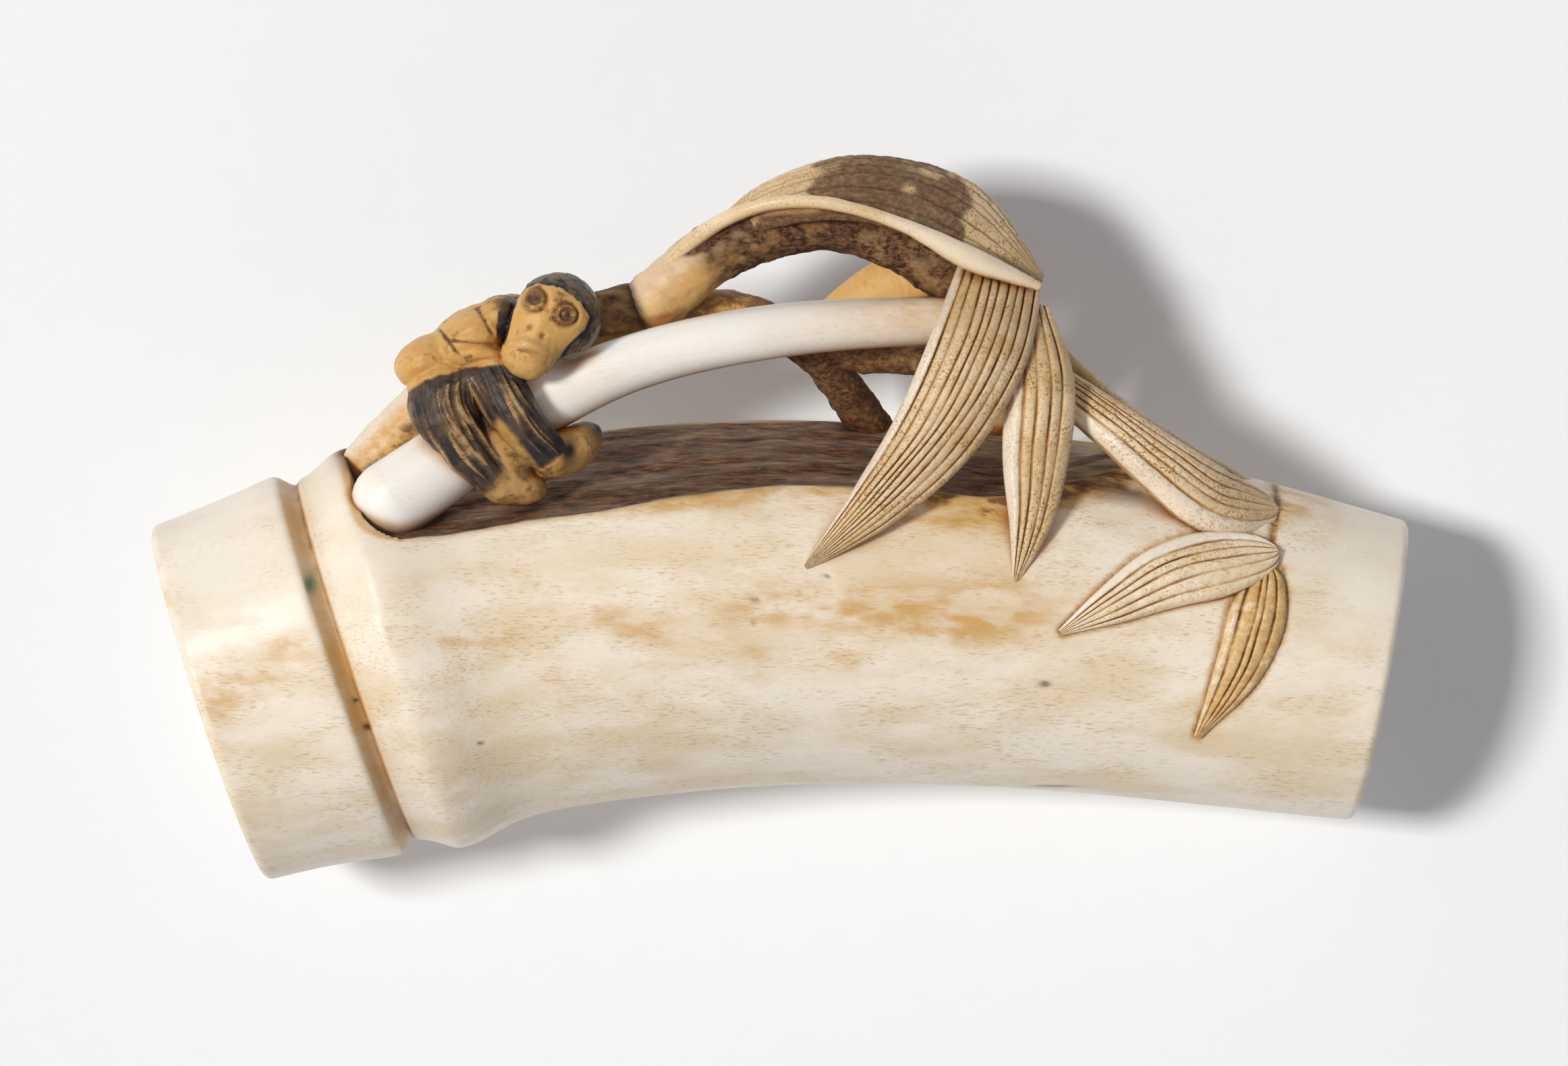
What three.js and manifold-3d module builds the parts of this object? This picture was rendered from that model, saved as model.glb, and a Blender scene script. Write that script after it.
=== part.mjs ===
// A netsuke carved from one length of stag antler. A bamboo culm with a raised node lies on its back; from a
// flat cut in its upper side rise two stems, an arched leaf and a cluster of ribbed leaves that hang over
// the culm, and a small monkey clings to the front stem. Millimetres, +Z up, +X along the culm.
//
// The carving is laid out in three numbers: x along the culm, y across it towards the stems, and a height
// that is measured from the culm's own axis. `settle` turns that height into Z above the table.
import * as THREE from "three";
import { mergeVertices } from "three/addons/utils/BufferGeometryUtils.js";
import Module from "manifold-3d";

const wasm = await Module();
wasm.setup();

// ---- driving dimensions ----------------------------------------------------------------------------
const LEFT_END = -34.8; // where the culm's axis meets its left end face
const RIGHT_END = 36.5; // and its right end face
const NODE = -26.0; // the groove of the node, on the axis
const CULM_RADIUS = 11.4; // at x = 0
const CULM_TAPER = [-0.022, -0.001]; // change of radius with x and with x squared
const AXIS_CURVE = [-4.86, 0.0165, -0.00512, 1.33e-5, 6.15e-7]; // y of the axis, as powers of x
const NODE_LEAN = 0.06; // the node's extra lean, in radians
const AXIS_HEIGHT = 10.87; // of the axis above the table at x = 0
const AXIS_FALL = 0.0562; // fall of the axis for each millimetre of x
const BACK_ROUNDNESS = 0.975; // depth of the culm for its width, away from the ends
const CUT_FACING = THREE.MathUtils.degToRad(72); // which way the flat cut faces, from +Z towards +Y
const CUT_HALF_ANGLE = THREE.MathUtils.degToRad(36); // half the arc of the culm that the cut takes away
const CUT_START = -22.9;
const CUT_FADE = [11, 21]; // where the cut runs out to the right
const END_DISH = 0.9; // depth of the dished core in each end face
const WALL = 3.1; // width of the rim round that dish

const up = new THREE.Vector3(0, 0, 1);

// ---- small helpers ---------------------------------------------------------------------------------
const ease = (from, to, x) => THREE.MathUtils.smoothstep(x, from, to);
const hump = (x, centre, width) => Math.exp(-(((x - centre) / width) ** 2));
const power = (terms, x) => terms.reduceRight((sum, term) => sum * x + term, 0);
const slope = (terms, x) => power(terms.slice(1).map((term, i) => term * (i + 1)), x);

// A value that runs smoothly through evenly spaced keys as t goes from 0 to 1.
function through(keys, t) {
  const last = keys.length - 1;
  const i = Math.min(Math.floor(t * last), last - 1);
  const f = t * last - i;
  const [a, b, c, d] = [i - 1, i, i + 1, i + 2].map((k) => keys[THREE.MathUtils.clamp(k, 0, last)]);
  return 0.5 * (2 * b + (c - a) * f + (2 * a - 5 * b + 4 * c - d) * f * f + (3 * b - a - 3 * c + d) * f ** 3);
}

function pointThrough(points, t) {
  const [x, y, z] = [0, 1, 2].map((k) => through(points.map((p) => p[k]), t));
  return new THREE.Vector3(x, y, z);
}

function tangentThrough(points, t) {
  const step = 1e-3;
  const ahead = pointThrough(points, Math.min(1, t + step));
  return ahead.sub(pointThrough(points, Math.max(0, t - step))).normalize();
}

// Height above the culm's axis becomes height above the table.
const settle = (p) => p.setZ(p.z + AXIS_HEIGHT - AXIS_FALL * p.x);

// A closed solid from rings of points, each of the same count and anticlockwise seen from the last ring. The
// first and the last ring are closed by a fan to their middle.
function solidFromRings(rings) {
  const count = rings[0].length;
  const middle = (ring) => ring.reduce((sum, p) => sum.add(p), new THREE.Vector3()).multiplyScalar(1 / count);
  const points = [middle(rings[0]), ...rings.flat(), middle(rings.at(-1))];
  const last = rings.length - 1;
  const at = (ring, k) => 1 + ring * count + (k % count);
  const faces = [];
  for (let k = 0; k < count; k++) {
    faces.push(0, at(0, k + 1), at(0, k));
    faces.push(points.length - 1, at(last, k), at(last, k + 1));
    for (let r = 0; r < last; r++) {
      faces.push(at(r, k), at(r, k + 1), at(r + 1, k));
      faces.push(at(r, k + 1), at(r + 1, k + 1), at(r + 1, k));
    }
  }
  return solidFromGeometry(new THREE.BufferGeometry().setFromPoints(points).setIndex(faces));
}

function solidFromGeometry(geometry) {
  const bare = new THREE.BufferGeometry().setAttribute("position", geometry.getAttribute("position"));
  const merged = mergeVertices(bare.setIndex(geometry.index), 1e-4);
  const mesh = new wasm.Mesh({
    numProp: 3,
    vertProperties: new Float32Array(merged.attributes.position.array),
    triVerts: new Uint32Array(merged.index.array),
  });
  return new wasm.Manifold(mesh);
}

// ---- the culm --------------------------------------------------------------------------------------
const axisAngle = (x) => Math.atan(slope(AXIS_CURVE, x)) + NODE_LEAN * hump(x, -25, 7);

// The radius swells to a lip before the node's groove and to a shoulder after it.
function culmRadius(x) {
  const plain = CULM_RADIUS + CULM_TAPER[0] * x + CULM_TAPER[1] * x * x + 0.25 * hump(x, LEFT_END, 5);
  const from = x - NODE;
  const lip = 1.15 * (from < -1.2 ? hump(from, -1.2, 2.6) : hump(from, -1.2, 1.0));
  const groove = -0.75 * hump(from, 0.1, 0.55);
  const shoulder = 1.25 * (from < 3 ? hump(from, 3, 2.0) : hump(from, 3, 3.6));
  return plain + lip + groove + shoulder;
}

// How far the skin lies from the axis at an angle from +Z towards +Y: the round culm, less the flat cut.
function skin(x, angle) {
  const round = culmRadius(x);
  const opening = ease(CUT_START, CUT_START + 0.5, x) * (1 - ease(...CUT_FADE, x));
  const half = CUT_HALF_ANGLE * Math.sqrt(opening);
  const turn = angle - CUT_FACING;
  if (Math.abs(turn) >= half) return round;
  return (round * Math.cos(half)) / Math.cos(turn);
}

function culmPoint(x, inset, radius, angle) {
  const lean = axisAngle(x);
  const middle = ease(LEFT_END, -12, x) * (1 - ease(20, RIGHT_END, x));
  const flatter = THREE.MathUtils.lerp(1, BACK_ROUNDNESS, middle);
  const across = radius * Math.sin(angle);
  return new THREE.Vector3(
    x - across * Math.sin(lean) + inset * Math.cos(lean),
    power(AXIS_CURVE, x) + across * Math.cos(lean) + inset * Math.sin(lean),
    radius * Math.cos(angle) * flatter,
  );
}

function culm() {
  const stations = [-34.2, -31, -28.8, -27.6, -26.9, -26.4, -26, -25.6, -25, -24, -22.95, -22.4, -20.8];
  for (let x = -18.8; x < -12; x += 2.6) stations.push(x);
  for (let x = -9.5; x < 33; x += 4.7) stations.push(x);
  stations.push(RIGHT_END - 0.7);
  const front = Array.from({ length: 16 }, (_, k) => 9 * k);
  const behind = Array.from({ length: 18 }, (_, k) => 144 + 12 * k);
  const angles = [...front, ...behind].reverse().map(THREE.MathUtils.degToRad);
  const ring = (x, inset, radius) => angles.map((a) => settle(culmPoint(x, inset, radius(a), a)));
  const end = (x, inwards) =>
    [
      [END_DISH, culmRadius(x) - WALL - 0.7],
      [0, culmRadius(x) - WALL],
      [0, culmRadius(x) - 0.65],
    ].map(([depth, radius]) => ring(x, inwards * depth, () => radius));
  return solidFromRings([
    ...end(LEFT_END, 1),
    ...stations.map((x) => ring(x, 0, (a) => skin(x, a))),
    ...end(RIGHT_END, -1).reverse(),
  ]);
}

// Height of the culm's front skin over a point (x, y), from the axis plane.
function frontOf(x, y) {
  const lean = axisAngle(x);
  const station = x + (y - power(AXIS_CURVE, x)) * Math.sin(lean) * Math.cos(lean);
  const across = (y - power(AXIS_CURVE, station)) * Math.cos(axisAngle(station));
  return Math.sqrt(Math.max(0, culmRadius(station) ** 2 - across ** 2)) * BACK_ROUNDNESS;
}

// ---- stems and limbs -------------------------------------------------------------------------------
// A round bar along smooth points, with radii at even steps and rounded ends.
function bar({ points, radii, sides = 8, steps = 8 }) {
  const rounding = [0.25, 0.75].map((shrink) => ({ shrink, out: Math.sqrt(1 - shrink * shrink) }));
  const stops = [
    ...rounding.map(({ shrink, out }) => ({ t: 0, shrink, out: -out })),
    ...Array.from({ length: steps + 1 }, (_, i) => ({ t: i / steps, shrink: 1, out: 0 })),
    ...rounding.toReversed().map(({ shrink, out }) => ({ t: 1, shrink, out })),
  ];
  return solidFromRings(
    stops.map(({ t, shrink, out }) => {
      const radius = through(radii, t);
      const along = tangentThrough(points, t);
      const side = new THREE.Vector3().crossVectors(up, along).normalize();
      const face = new THREE.Vector3().crossVectors(along, side);
      const centre = pointThrough(points, t).addScaledVector(along, out * radius);
      return Array.from({ length: sides }, (_, k) => {
        const a = (k / sides) * 2 * Math.PI;
        const p = centre.clone().addScaledVector(side, radius * shrink * Math.cos(a));
        return settle(p.addScaledVector(face, radius * shrink * Math.sin(a)));
      });
    }),
  );
}

// ---- leaves ----------------------------------------------------------------------------------------
// A ribbed blade along smooth points, with its widths at even steps. `face` is the way its back looks, from
// base to tip, `camber` lifts its middle above its edges, and each rib is a ridge between two grooves.
function leaf({ points, widths, face, camber, ribs, thick = 1.4, relief = 0.2, steps = 8 }) {
  const upper = Array.from({ length: ribs * 2 + 1 }, (_, k) => [k / ribs - 1, k % 2 ? 0 : relief]);
  const lower = Array.from({ length: 4 }, (_, k) => [0.93 - 0.62 * k, thick]);
  return solidFromRings(
    Array.from({ length: steps + 1 }, (_, i) => {
      const t = i / steps;
      const along = tangentThrough(points, t);
      const side = new THREE.Vector3().crossVectors(along, pointThrough(face, t)).normalize();
      const back = new THREE.Vector3().crossVectors(side, along).normalize();
      const fade = 1 - 0.6 * ease(0.7, 1, t);
      return [...upper, ...lower].map(([v, depth]) => {
        const height = through(camber, t) * (1 - v * v) - depth * fade;
        const p = pointThrough(points, t).addScaledVector(side, (v * through(widths, t)) / 2);
        return settle(p.addScaledVector(back, height));
      });
    }),
  );
}

// ---- the monkey ------------------------------------------------------------------------------------
// An egg with its middle, its three radii, and its turn about Z in degrees.
function egg([x, y, z], radii, turn = 0, round = 10) {
  const ball = new THREE.SphereGeometry(1, round, Math.round(round * 0.62));
  ball.scale(...radii);
  ball.rotateZ(THREE.MathUtils.degToRad(turn));
  ball.translate(x, y, z + AXIS_HEIGHT - AXIS_FALL * x);
  return solidFromGeometry(ball);
}

const FACE_TURN = 66; // the way from chin to crown, from +X
const EYES = [
  [-14.92, 13.15],
  [-13.13, 12.2],
];

function head() {
  const skull = egg([-13.65, 12.2, 9.3], [2.65, 2.6, 2.6], 0, 12);
  const face = egg([-14.75, 11.3, 10.3], [2.8, 1.95, 1.75], FACE_TURN, 12);
  const muzzle = egg([-15.5, 10.1, 10.4], [1.85, 1.5, 1.75], FACE_TURN, 10);
  const sockets = EYES.map(([x, y]) => egg([x, y, 12.25], [0.82, 0.82, 0.8], 0, 8));
  return sockets.reduce((made, hole) => made.subtract(hole), skull.add(face).add(muzzle));
}

const BODY_EGGS = [
  { at: [-18.7, 10.7, 7.5], radii: [3.2, 2.0, 2.9], turn: 30 }, // back
  { at: [-21.5, 9.5, 7.8], radii: [2.05, 1.45, 2.2], turn: 28 }, // haunch
  { at: [-17.2, 12.1, 8.2], radii: [1.45, 1.4, 1.8], turn: 30 }, // shoulder
  { at: [-18.9, 8.3, 8.3], radii: [3.3, 1.6, 1.9], turn: 8 }, // lap
  { at: [-16.2, 2.2, 8.0], radii: [2.0, 1.35, 1.5], turn: -18 }, // foot
  { at: [-16.7, 4.2, 8.1], radii: [1.4, 2.2, 1.2], turn: 22 }, // hollow between the limbs
];

const LIMBS = [
  // the near leg, and the near arm that reaches over the stem
  {
    points: [[-20.5, 7.9, 8.7], [-20.25, 6.3, 9.4], [-19.2, 4.5, 9.5], [-18.1, 3.1, 9.0], [-16.9, 2.1, 8.3]],
    radii: [2.15, 2.05, 1.5, 1.25, 1.15],
  },
  {
    points: [[-17.4, 8.7, 9.1], [-16.5, 7.1, 9.9], [-15.4, 5.4, 9.9], [-14.2, 4.1, 9.1]],
    radii: [1.6, 1.5, 1.35, 1.1],
  },
  // its hand, then the far leg and the far arm behind the stem
  { points: [[-14.0, 3.8, 8.3], [-12.7, 4.4, 7.3], [-11.6, 5.3, 5.9]], radii: [1.2, 1.25, 0.8] },
  { points: [[-19.0, 10.6, 6.5], [-18.0, 8.6, 3.4], [-16.2, 6.4, 3.0]], radii: [1.7, 1.5, 1.1] },
  { points: [[-16.5, 12.2, 7.0], [-14.5, 11.4, 4.4], [-12.6, 10.4, 2.2]], radii: [1.4, 1.3, 1.1] },
];

// ---- the whole carving -----------------------------------------------------------------------------
const STEMS = [
  // the polished front stem, from its rounded root to the leaf cluster
  {
    points: [[-23.8, 1.6, 6.1], [-17.6, 5.15, 6.6], [-9.5, 9.1, 6.9], [0, 11.25, 6.7], [11.5, 11.95, 5.6]],
    radii: [2.3, 2.05, 1.72, 1.62, 1.4],
    sides: 11,
    steps: 11,
  },
  // the rear stem, up to its joint, and the arched stem beyond the joint
  {
    points: [[-24.6, 3.0, 2.2], [-20.5, 7.2, 2.6], [-15.5, 10.4, 3.2], [-9.3, 12.5, 4.0]],
    radii: [2.1, 1.95, 1.8, 1.65],
    sides: 10,
    steps: 6,
  },
  {
    points: [[-7.6, 13.2, 4.3], [-3.4, 16.3, 5.0], [2.4, 17.9, 5.4], [7.6, 16.4, 5.4], [11.6, 13.2, 5.0]],
    radii: [1.85, 1.8, 1.8, 1.85, 1.7],
    sides: 11,
    steps: 9,
  },
  // branches behind the front stem
  {
    points: [[-7.0, 12.6, 2.6], [-2.4, 12.4, 1.2], [2.0, 9.9, 0.8], [5.8, 5.8, 1.2]],
    radii: [1.15, 1.2, 1.2, 1.3],
  },
  { points: [[1.6, 10.2, 0.8], [5.6, 9.6, 1.2], [11.5, 9.6, 2.6]], radii: [0.9, 0.85, 1.1], steps: 5 },
  { points: [[9.2, 14.6, 2.6], [5.6, 13.7, 1.8], [1.4, 11.2, 0.9]], radii: [1.25, 1.05, 0.9], steps: 5 },
  // the rolled lower edges of the roof leaf and of the leaf along the culm
  {
    points: [[-6.4, 15.9, 7.2], [-0.6, 18.7, 8.1], [5.8, 18.1, 8.5], [13.2, 14.7, 8.2]],
    radii: [0.6, 0.8, 0.95, 0.8],
    sides: 6,
  },
  {
    points: [[17.7, 5.9, 7.4], [20.8, 2.9, 8.2], [24.2, -0.2, 8.7], [29.3, -0.3, 6.6]],
    radii: [0.55, 0.7, 0.9, 0.75],
    sides: 6,
    steps: 6,
  },
];

const LEAVES = [
  // the leaf that roofs the arch
  {
    points: [[-7.0, 15.1, 4.9], [-1.4, 18.1, 4.7], [4.6, 18.6, 4.6], [10.4, 16.6, 4.7], [15.5, 14.2, 5.6]],
    widths: [2.2, 6.4, 8.4, 8.0, 1.2],
    face: [[-0.4, 1, 0.1], [0.3, 1, 0.1]],
    camber: [0.5, 2.0, 3.35, 3.6, 0.6],
    ribs: 9,
    thick: 1.6,
    steps: 9,
  },
  // three leaves over the front of the culm
  {
    points: [[12.9, 14.1, 8.2], [11.7, 9.9, 10.2], [9.2, 5.2, 11.2], [5.6, 0.9, 11.3], [1.5, -2.9, 10.9]],
    widths: [5.2, 6.0, 5.2, 3.3, 0.7],
    face: [[0.15, 0.25, 1], [0, 0.1, 1]],
    camber: [0.6, 0.9, 0.9, 0.6, 0.1],
    ribs: 8,
  },
  {
    points: [[15.2, 11.2, 7.6], [15.6, 7.2, 9.2], [15.3, 3.0, 10.1], [14.9, -0.5, 10.4], [13.9, -3.9, 10.4]],
    widths: [2.6, 4.1, 3.7, 2.5, 0.7],
    face: [[0.15, 0.3, 1], [0, 0.25, 1]],
    camber: [0.5, 0.7, 0.6, 0.4, 0.1],
    ribs: 5,
  },
  {
    points: [[16.4, 8.2, 6.4], [19.6, 5.6, 7.3], [22.8, 3.0, 7.7], [26.2, 1.0, 7.1], [29.6, 0.45, 5.2]],
    widths: [2.4, 3.3, 4.3, 4.0, 1.8],
    face: [[0.2, 0.5, 0.85], [0.15, 0.65, 0.75]],
    camber: [0.4, 0.6, 0.8, 0.8, 0.4],
    ribs: 5,
    thick: 1.8,
  },
  // two leaves in low relief on the culm
  {
    points: [[29.5, -1.6], [26.2, -2.5], [22.7, -3.6], [19.4, -5.1], [16.3, -6.7]],
    widths: [2.2, 5.0, 4.8, 2.7, 0.7],
    camber: [0.3, 0.5, 0.5, 0.3, 0.1],
    proud: 0.45,
    ribs: 5,
    steps: 7,
  },
  {
    points: [[29.4, -2.8], [28.7, -5.4], [27.9, -7.9], [26.8, -10.2], [24.9, -13.2]],
    widths: [1.6, 3.3, 3.2, 2.4, 0.7],
    camber: [0.2, 0.4, 0.4, 0.3, 0.1],
    proud: 0.4,
    ribs: 4,
    steps: 7,
  },
  // the plainer leaves on the far side
  {
    points: [[13.4, 13.6, 2.6], [12.2, 9.0, -1.6], [10.6, 4.8, -6.4], [9.2, 1.2, -9.0], [7.6, -1.4, -10.1]],
    widths: [4.6, 5.6, 5.0, 3.4, 0.8],
    face: [[0.3, 0.75, -0.6], [0, 0.35, -1]],
    camber: [0.5, 0.7, 0.7, 0.5, 0.2],
    ribs: 3,
    steps: 5,
  },
  {
    points: [[15.6, 11.0, 4.6], [19.6, 7.0, 3.0], [24.6, 3.6, 1.4], [30.0, 1.2, 0.6]],
    widths: [2.8, 4.0, 4.4, 1.2],
    face: [[0.5, 0.8, -0.2], [0.25, 1, -0.3]],
    camber: [0.4, 0.6, 0.6, 0.3],
    ribs: 3,
    thick: 1.7,
    steps: 5,
  },
];

// A leaf in relief gives x and y alone: it lies on the culm's skin and stands a little proud of it.
function reliefLeaf(plan) {
  const points = plan.points.map(([x, y]) => [x, y, frontOf(x, y) + plan.proud - plan.camber[0]]);
  const face = plan.points.map(([x, y]) => [0, (y - power(AXIS_CURVE, x)) / culmRadius(x), 0.8]);
  return leaf({ ...plan, points, face });
}

const table = solidFromGeometry(new THREE.BoxGeometry(120, 80, 10).translate(0, 0, -5));
const pieces = [
  culm(),
  ...STEMS.map(bar),
  ...LEAVES.map((plan) => (plan.proud ? reliefLeaf(plan) : leaf(plan))),
  ...LIMBS.map((limb) => bar({ sides: 8, steps: 4, ...limb })),
  ...BODY_EGGS.map(({ at, radii, turn }) => egg(at, radii, turn)),
  head(),
];
const carving = pieces.reduce((whole, piece) => whole.add(piece)).subtract(table);

const mesh = carving.getMesh();
const geometry = new THREE.BufferGeometry();
geometry.setAttribute("position", new THREE.BufferAttribute(mesh.vertProperties, 3));
geometry.setIndex(new THREE.BufferAttribute(mesh.triVerts, 1));
geometry.computeVertexNormals();

const antler = new THREE.MeshStandardMaterial({ color: 0xe6d6b8, roughness: 0.35, metalness: 0 });
const netsuke = new THREE.Mesh(geometry, antler);
netsuke.name = "netsuke_carving";

const model = new THREE.Group();
model.add(netsuke);
export default model;
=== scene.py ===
"""A netsuke carved from stag antler: a bamboo culm with a node ring, stems, ribbed leaves and a small monkey.

Shapes are laid out in the carving's own millimetres: x along the culm, y across it towards the stems, and a
height measured from the culm's axis. `put_in` settles them on the table and turns them into metres.
"""

import math

import bpy
import numpy as np
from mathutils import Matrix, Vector


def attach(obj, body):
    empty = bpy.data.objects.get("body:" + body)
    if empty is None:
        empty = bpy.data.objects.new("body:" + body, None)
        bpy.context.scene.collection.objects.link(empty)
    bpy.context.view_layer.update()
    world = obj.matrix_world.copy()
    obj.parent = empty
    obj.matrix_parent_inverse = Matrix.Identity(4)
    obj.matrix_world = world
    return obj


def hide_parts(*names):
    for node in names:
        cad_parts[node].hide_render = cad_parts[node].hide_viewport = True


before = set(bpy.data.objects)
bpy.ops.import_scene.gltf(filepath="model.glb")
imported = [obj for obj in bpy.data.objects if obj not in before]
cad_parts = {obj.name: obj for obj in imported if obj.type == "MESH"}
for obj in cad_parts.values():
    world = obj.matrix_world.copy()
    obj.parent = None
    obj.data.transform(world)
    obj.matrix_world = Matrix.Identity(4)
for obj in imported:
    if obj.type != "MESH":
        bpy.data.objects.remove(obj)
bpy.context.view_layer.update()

# ---- driving dimensions, in millimetres ----
LEFT_END, RIGHT_END = -34.8, 36.5  # where the culm's axis meets its end faces
NODE = -26.0  # the groove of the node, on the axis
CULM_RADIUS = 11.4
CULM_TAPER = (-0.022, -0.001)  # what x and its square add to the radius
AXIS_CURVE = (-4.86, 0.0165, -0.00512, 1.33e-5, 6.15e-7)  # y of the axis, as powers of x
NODE_LEAN = 0.06  # how much more the culm is turned at the node, in radians
AXIS_HEIGHT, AXIS_FALL = 10.87, 0.0562  # of the axis above the table, and its fall along x
BACK_ROUNDNESS = 0.975  # depth of the culm's section over its width, away from the ends
CUT_FACING, CUT_HALF_ANGLE = math.radians(72), math.radians(36)
CUT_START, CUT_CORNER = -22.9, 2.4  # its left end, and the rounding of the corner there
CUT_WIDENING = 0.045  # how much farther down the front the cut reaches at its left end, in radians
CUT_FADE = (11.0, 21.0)  # where the cut runs out to the right
END_DISH, CORE_EDGE = 0.9, 3.4  # how deep the porous core lies, and how far in from the rim it starts
EDGE_ROUND = 0.55
CORNER_SHADE_REACH = 0.0012  # how far from a corner the painted corner shade reaches, in metres
GRAIN_DEPTH = 0.00016  # of the fibre and the flecks, in metres
THROUGH_LIGHT = 0.15  # the share of light that goes through the skin of the antler

# ---- how finely the surfaces are laid out ----
CULM_RINGS, CULM_SPOKES = 324, 264
CAP_RINGS = 8  # in each half round end of a stem
UNDERSIDE_LINES = 24  # from edge to edge under a leaf
RIB_STEPS = np.array([0, 0.05, 0.11, 0.2, 0.34, 0.5, 0.66, 0.8, 0.89, 0.95])  # over one rib, groove to groove
FAR_AWAY = 1e3  # a distance to start from, farther than any in the carving

# ---- stems, each a line of points from its root and its radii at even steps ----
FRONT_STEM = (
    ((-23.4, 1.0, 7.3), (-17.6, 5.0, 6.8), (-9.5, 9.1, 6.9), (0, 11.25, 6.7), (11.5, 11.95, 5.6)),
    (2.45, 2.1, 1.72, 1.62, 1.4),
)
REAR_STEM = (
    ((-24.6, 3.0, 2.2), (-20.5, 7.2, 2.6), (-15.5, 10.4, 3.2), (-9.3, 12.5, 4.0)),
    (2.1, 1.95, 1.8, 1.65),
)
ARCHED_STEM = (
    ((-7.6, 13.2, 4.3), (-3.4, 16.3, 5.0), (2.4, 17.9, 5.4), (7.6, 16.4, 5.4), (11.6, 13.2, 5.0)),
    (1.85, 1.8, 1.8, 1.85, 1.7),
)
REAR_BRANCH = (
    ((-7.0, 12.6, 2.6), (-2.4, 12.4, 1.2), (2.0, 9.9, 0.8), (5.8, 5.0, -3.6)),
    (1.15, 1.2, 1.2, 1.25),
)
CROSS_BRANCH = (((1.6, 10.2, 0.8), (5.6, 9.6, 1.2), (11.5, 9.6, 2.6)), (0.9, 0.85, 1.1))
ROOF_LEAF_EDGE = (
    (
        (-7.9, 14.1, 4.9),
        (-4.9, 17.0, 6.3),
        (-1.6, 18.6, 7.9),
        (2.4, 18.85, 8.7),
        (7.0, 17.6, 8.95),
        (11.3, 15.5, 8.6),
        (15.3, 13.9, 7.8),
    ),
    (0.55, 0.5, 0.42, 0.4, 0.42, 0.74, 0.28),
)

# ---- leaves: a line of points from base to tip, widths, facing and camber at even steps ----
ROOF_LEAF = dict(
    points=((-4.6, 16.4, 4.0), (-0.4, 18.3, 4.6), (4.9, 18.5, 4.6), (10.4, 16.6, 4.7), (15.5, 14.1, 5.6)),
    widths=(0.9, 6.2, 8.4, 8.0, 1.6),
    face=((-0.4, 1, 0.1), (0.3, 1, 0.1)),
    camber=(0.5, 2.0, 3.35, 3.6, 0.6),
)
HANGING_LEAF = dict(
    points=((13.2, 14.9, 6.6), (11.8, 10.2, 10.1), (9.2, 5.2, 11.2), (5.6, 0.9, 11.3), (1.4, -3.0, 10.9)),
    widths=(5.2, 6.0, 5.2, 3.3, 0.4),
    face=((0.15, 0.25, 1), (0, 0.1, 1)),
    camber=(0.6, 0.9, 0.9, 0.6, 0.1),
)
NARROW_LEAF = dict(
    points=((15.0, 12.6, 6.6), (15.45, 8.2, 9.0), (15.15, 3.5, 10.0), (14.8, -0.3, 10.4), (13.9, -3.9, 10.4)),
    widths=(2.4, 4.2, 4.0, 2.6, 0.4),
    face=((0.15, 0.3, 1), (0, 0.25, 1)),
    camber=(0.5, 0.7, 0.6, 0.4, 0.1),
)
LONG_LEAF = dict(
    points=((16.4, 8.3, 6.4), (19.7, 5.8, 7.3), (23.0, 3.2, 7.7), (26.3, 0.95, 7.0), (29.8, 0.35, 5.2)),
    widths=(2.2, 2.9, 3.8, 4.7, 4.0),
    face=((0.1, 0.35, 0.9), (0.1, 0.5, 0.85)),
    camber=(0.4, 0.6, 0.8, 0.8, 0.4),
)
LOW_LEAF = dict(  # on the culm's own skin
    points=((29.8, -2.2), (26.4, -2.6), (23.0, -3.5), (19.7, -5.2), (16.6, -6.9)),
    widths=(2.4, 4.5, 4.1, 2.5, 0.4),
    camber=(0.3, 0.5, 0.5, 0.3, 0.05),
    proud=0.45,
)
SIDE_LEAF = dict(  # on the culm's own skin
    points=((29.0, -2.9), (28.5, -5.6), (27.8, -8.0), (26.7, -10.3), (24.9, -13.2)),
    widths=(2.2, 3.5, 3.3, 2.4, 0.4),
    camber=(0.2, 0.4, 0.4, 0.3, 0.05),
    proud=0.4,
)
BACK_HANGING_LEAF = dict(
    points=((13.4, 13.6, 2.6), (12.2, 9.0, -1.6), (10.6, 4.8, -6.4), (9.2, 1.2, -9.0), (7.6, -1.4, -10.1)),
    widths=(4.6, 5.6, 5.0, 3.4, 0.6),
    face=((0.3, 0.75, -0.6), (0, 0.35, -1)),
    camber=(0.5, 0.7, 0.7, 0.5, 0.2),
)
BACK_LONG_LEAF = dict(
    points=((15.6, 11.0, 4.6), (19.6, 7.0, 3.0), (24.6, 3.6, 1.4), (30.0, 1.2, 0.6)),
    widths=(2.8, 4.0, 4.4, 1.2),
    face=((0.5, 0.8, -0.2), (0.25, 1, -0.3)),
    camber=(0.4, 0.6, 0.6, 0.3),
)
SMALL_LEAF = dict(
    points=((9.8, 15.0, 2.6), (7.0, 14.6, 2.3), (4.0, 13.0, 1.7), (1.2, 11.0, 1.0)),
    widths=(2.8, 3.2, 2.6, 1.4),
    face=((-0.25, 0.3, 1), (-0.2, 0.2, 1)),
    camber=(0.5, 0.6, 0.5, 0.3),
)


# ---- small helpers ----
def ease(start, stop, x):
    """0 before start, 1 after stop, and a smooth step between them."""
    t = np.clip((x - start) / (stop - start), 0, 1)
    return t * t * (3 - 2 * t)


def hump(x, middle, width):
    """A bell of height 1 at middle, down to 1/e at width from it."""
    return np.exp(-(((x - middle) / width) ** 2))


def power(terms, x):
    """The polynomial whose terms rise with the powers of x."""
    return sum(term * x**k for k, term in enumerate(terms))


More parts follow.
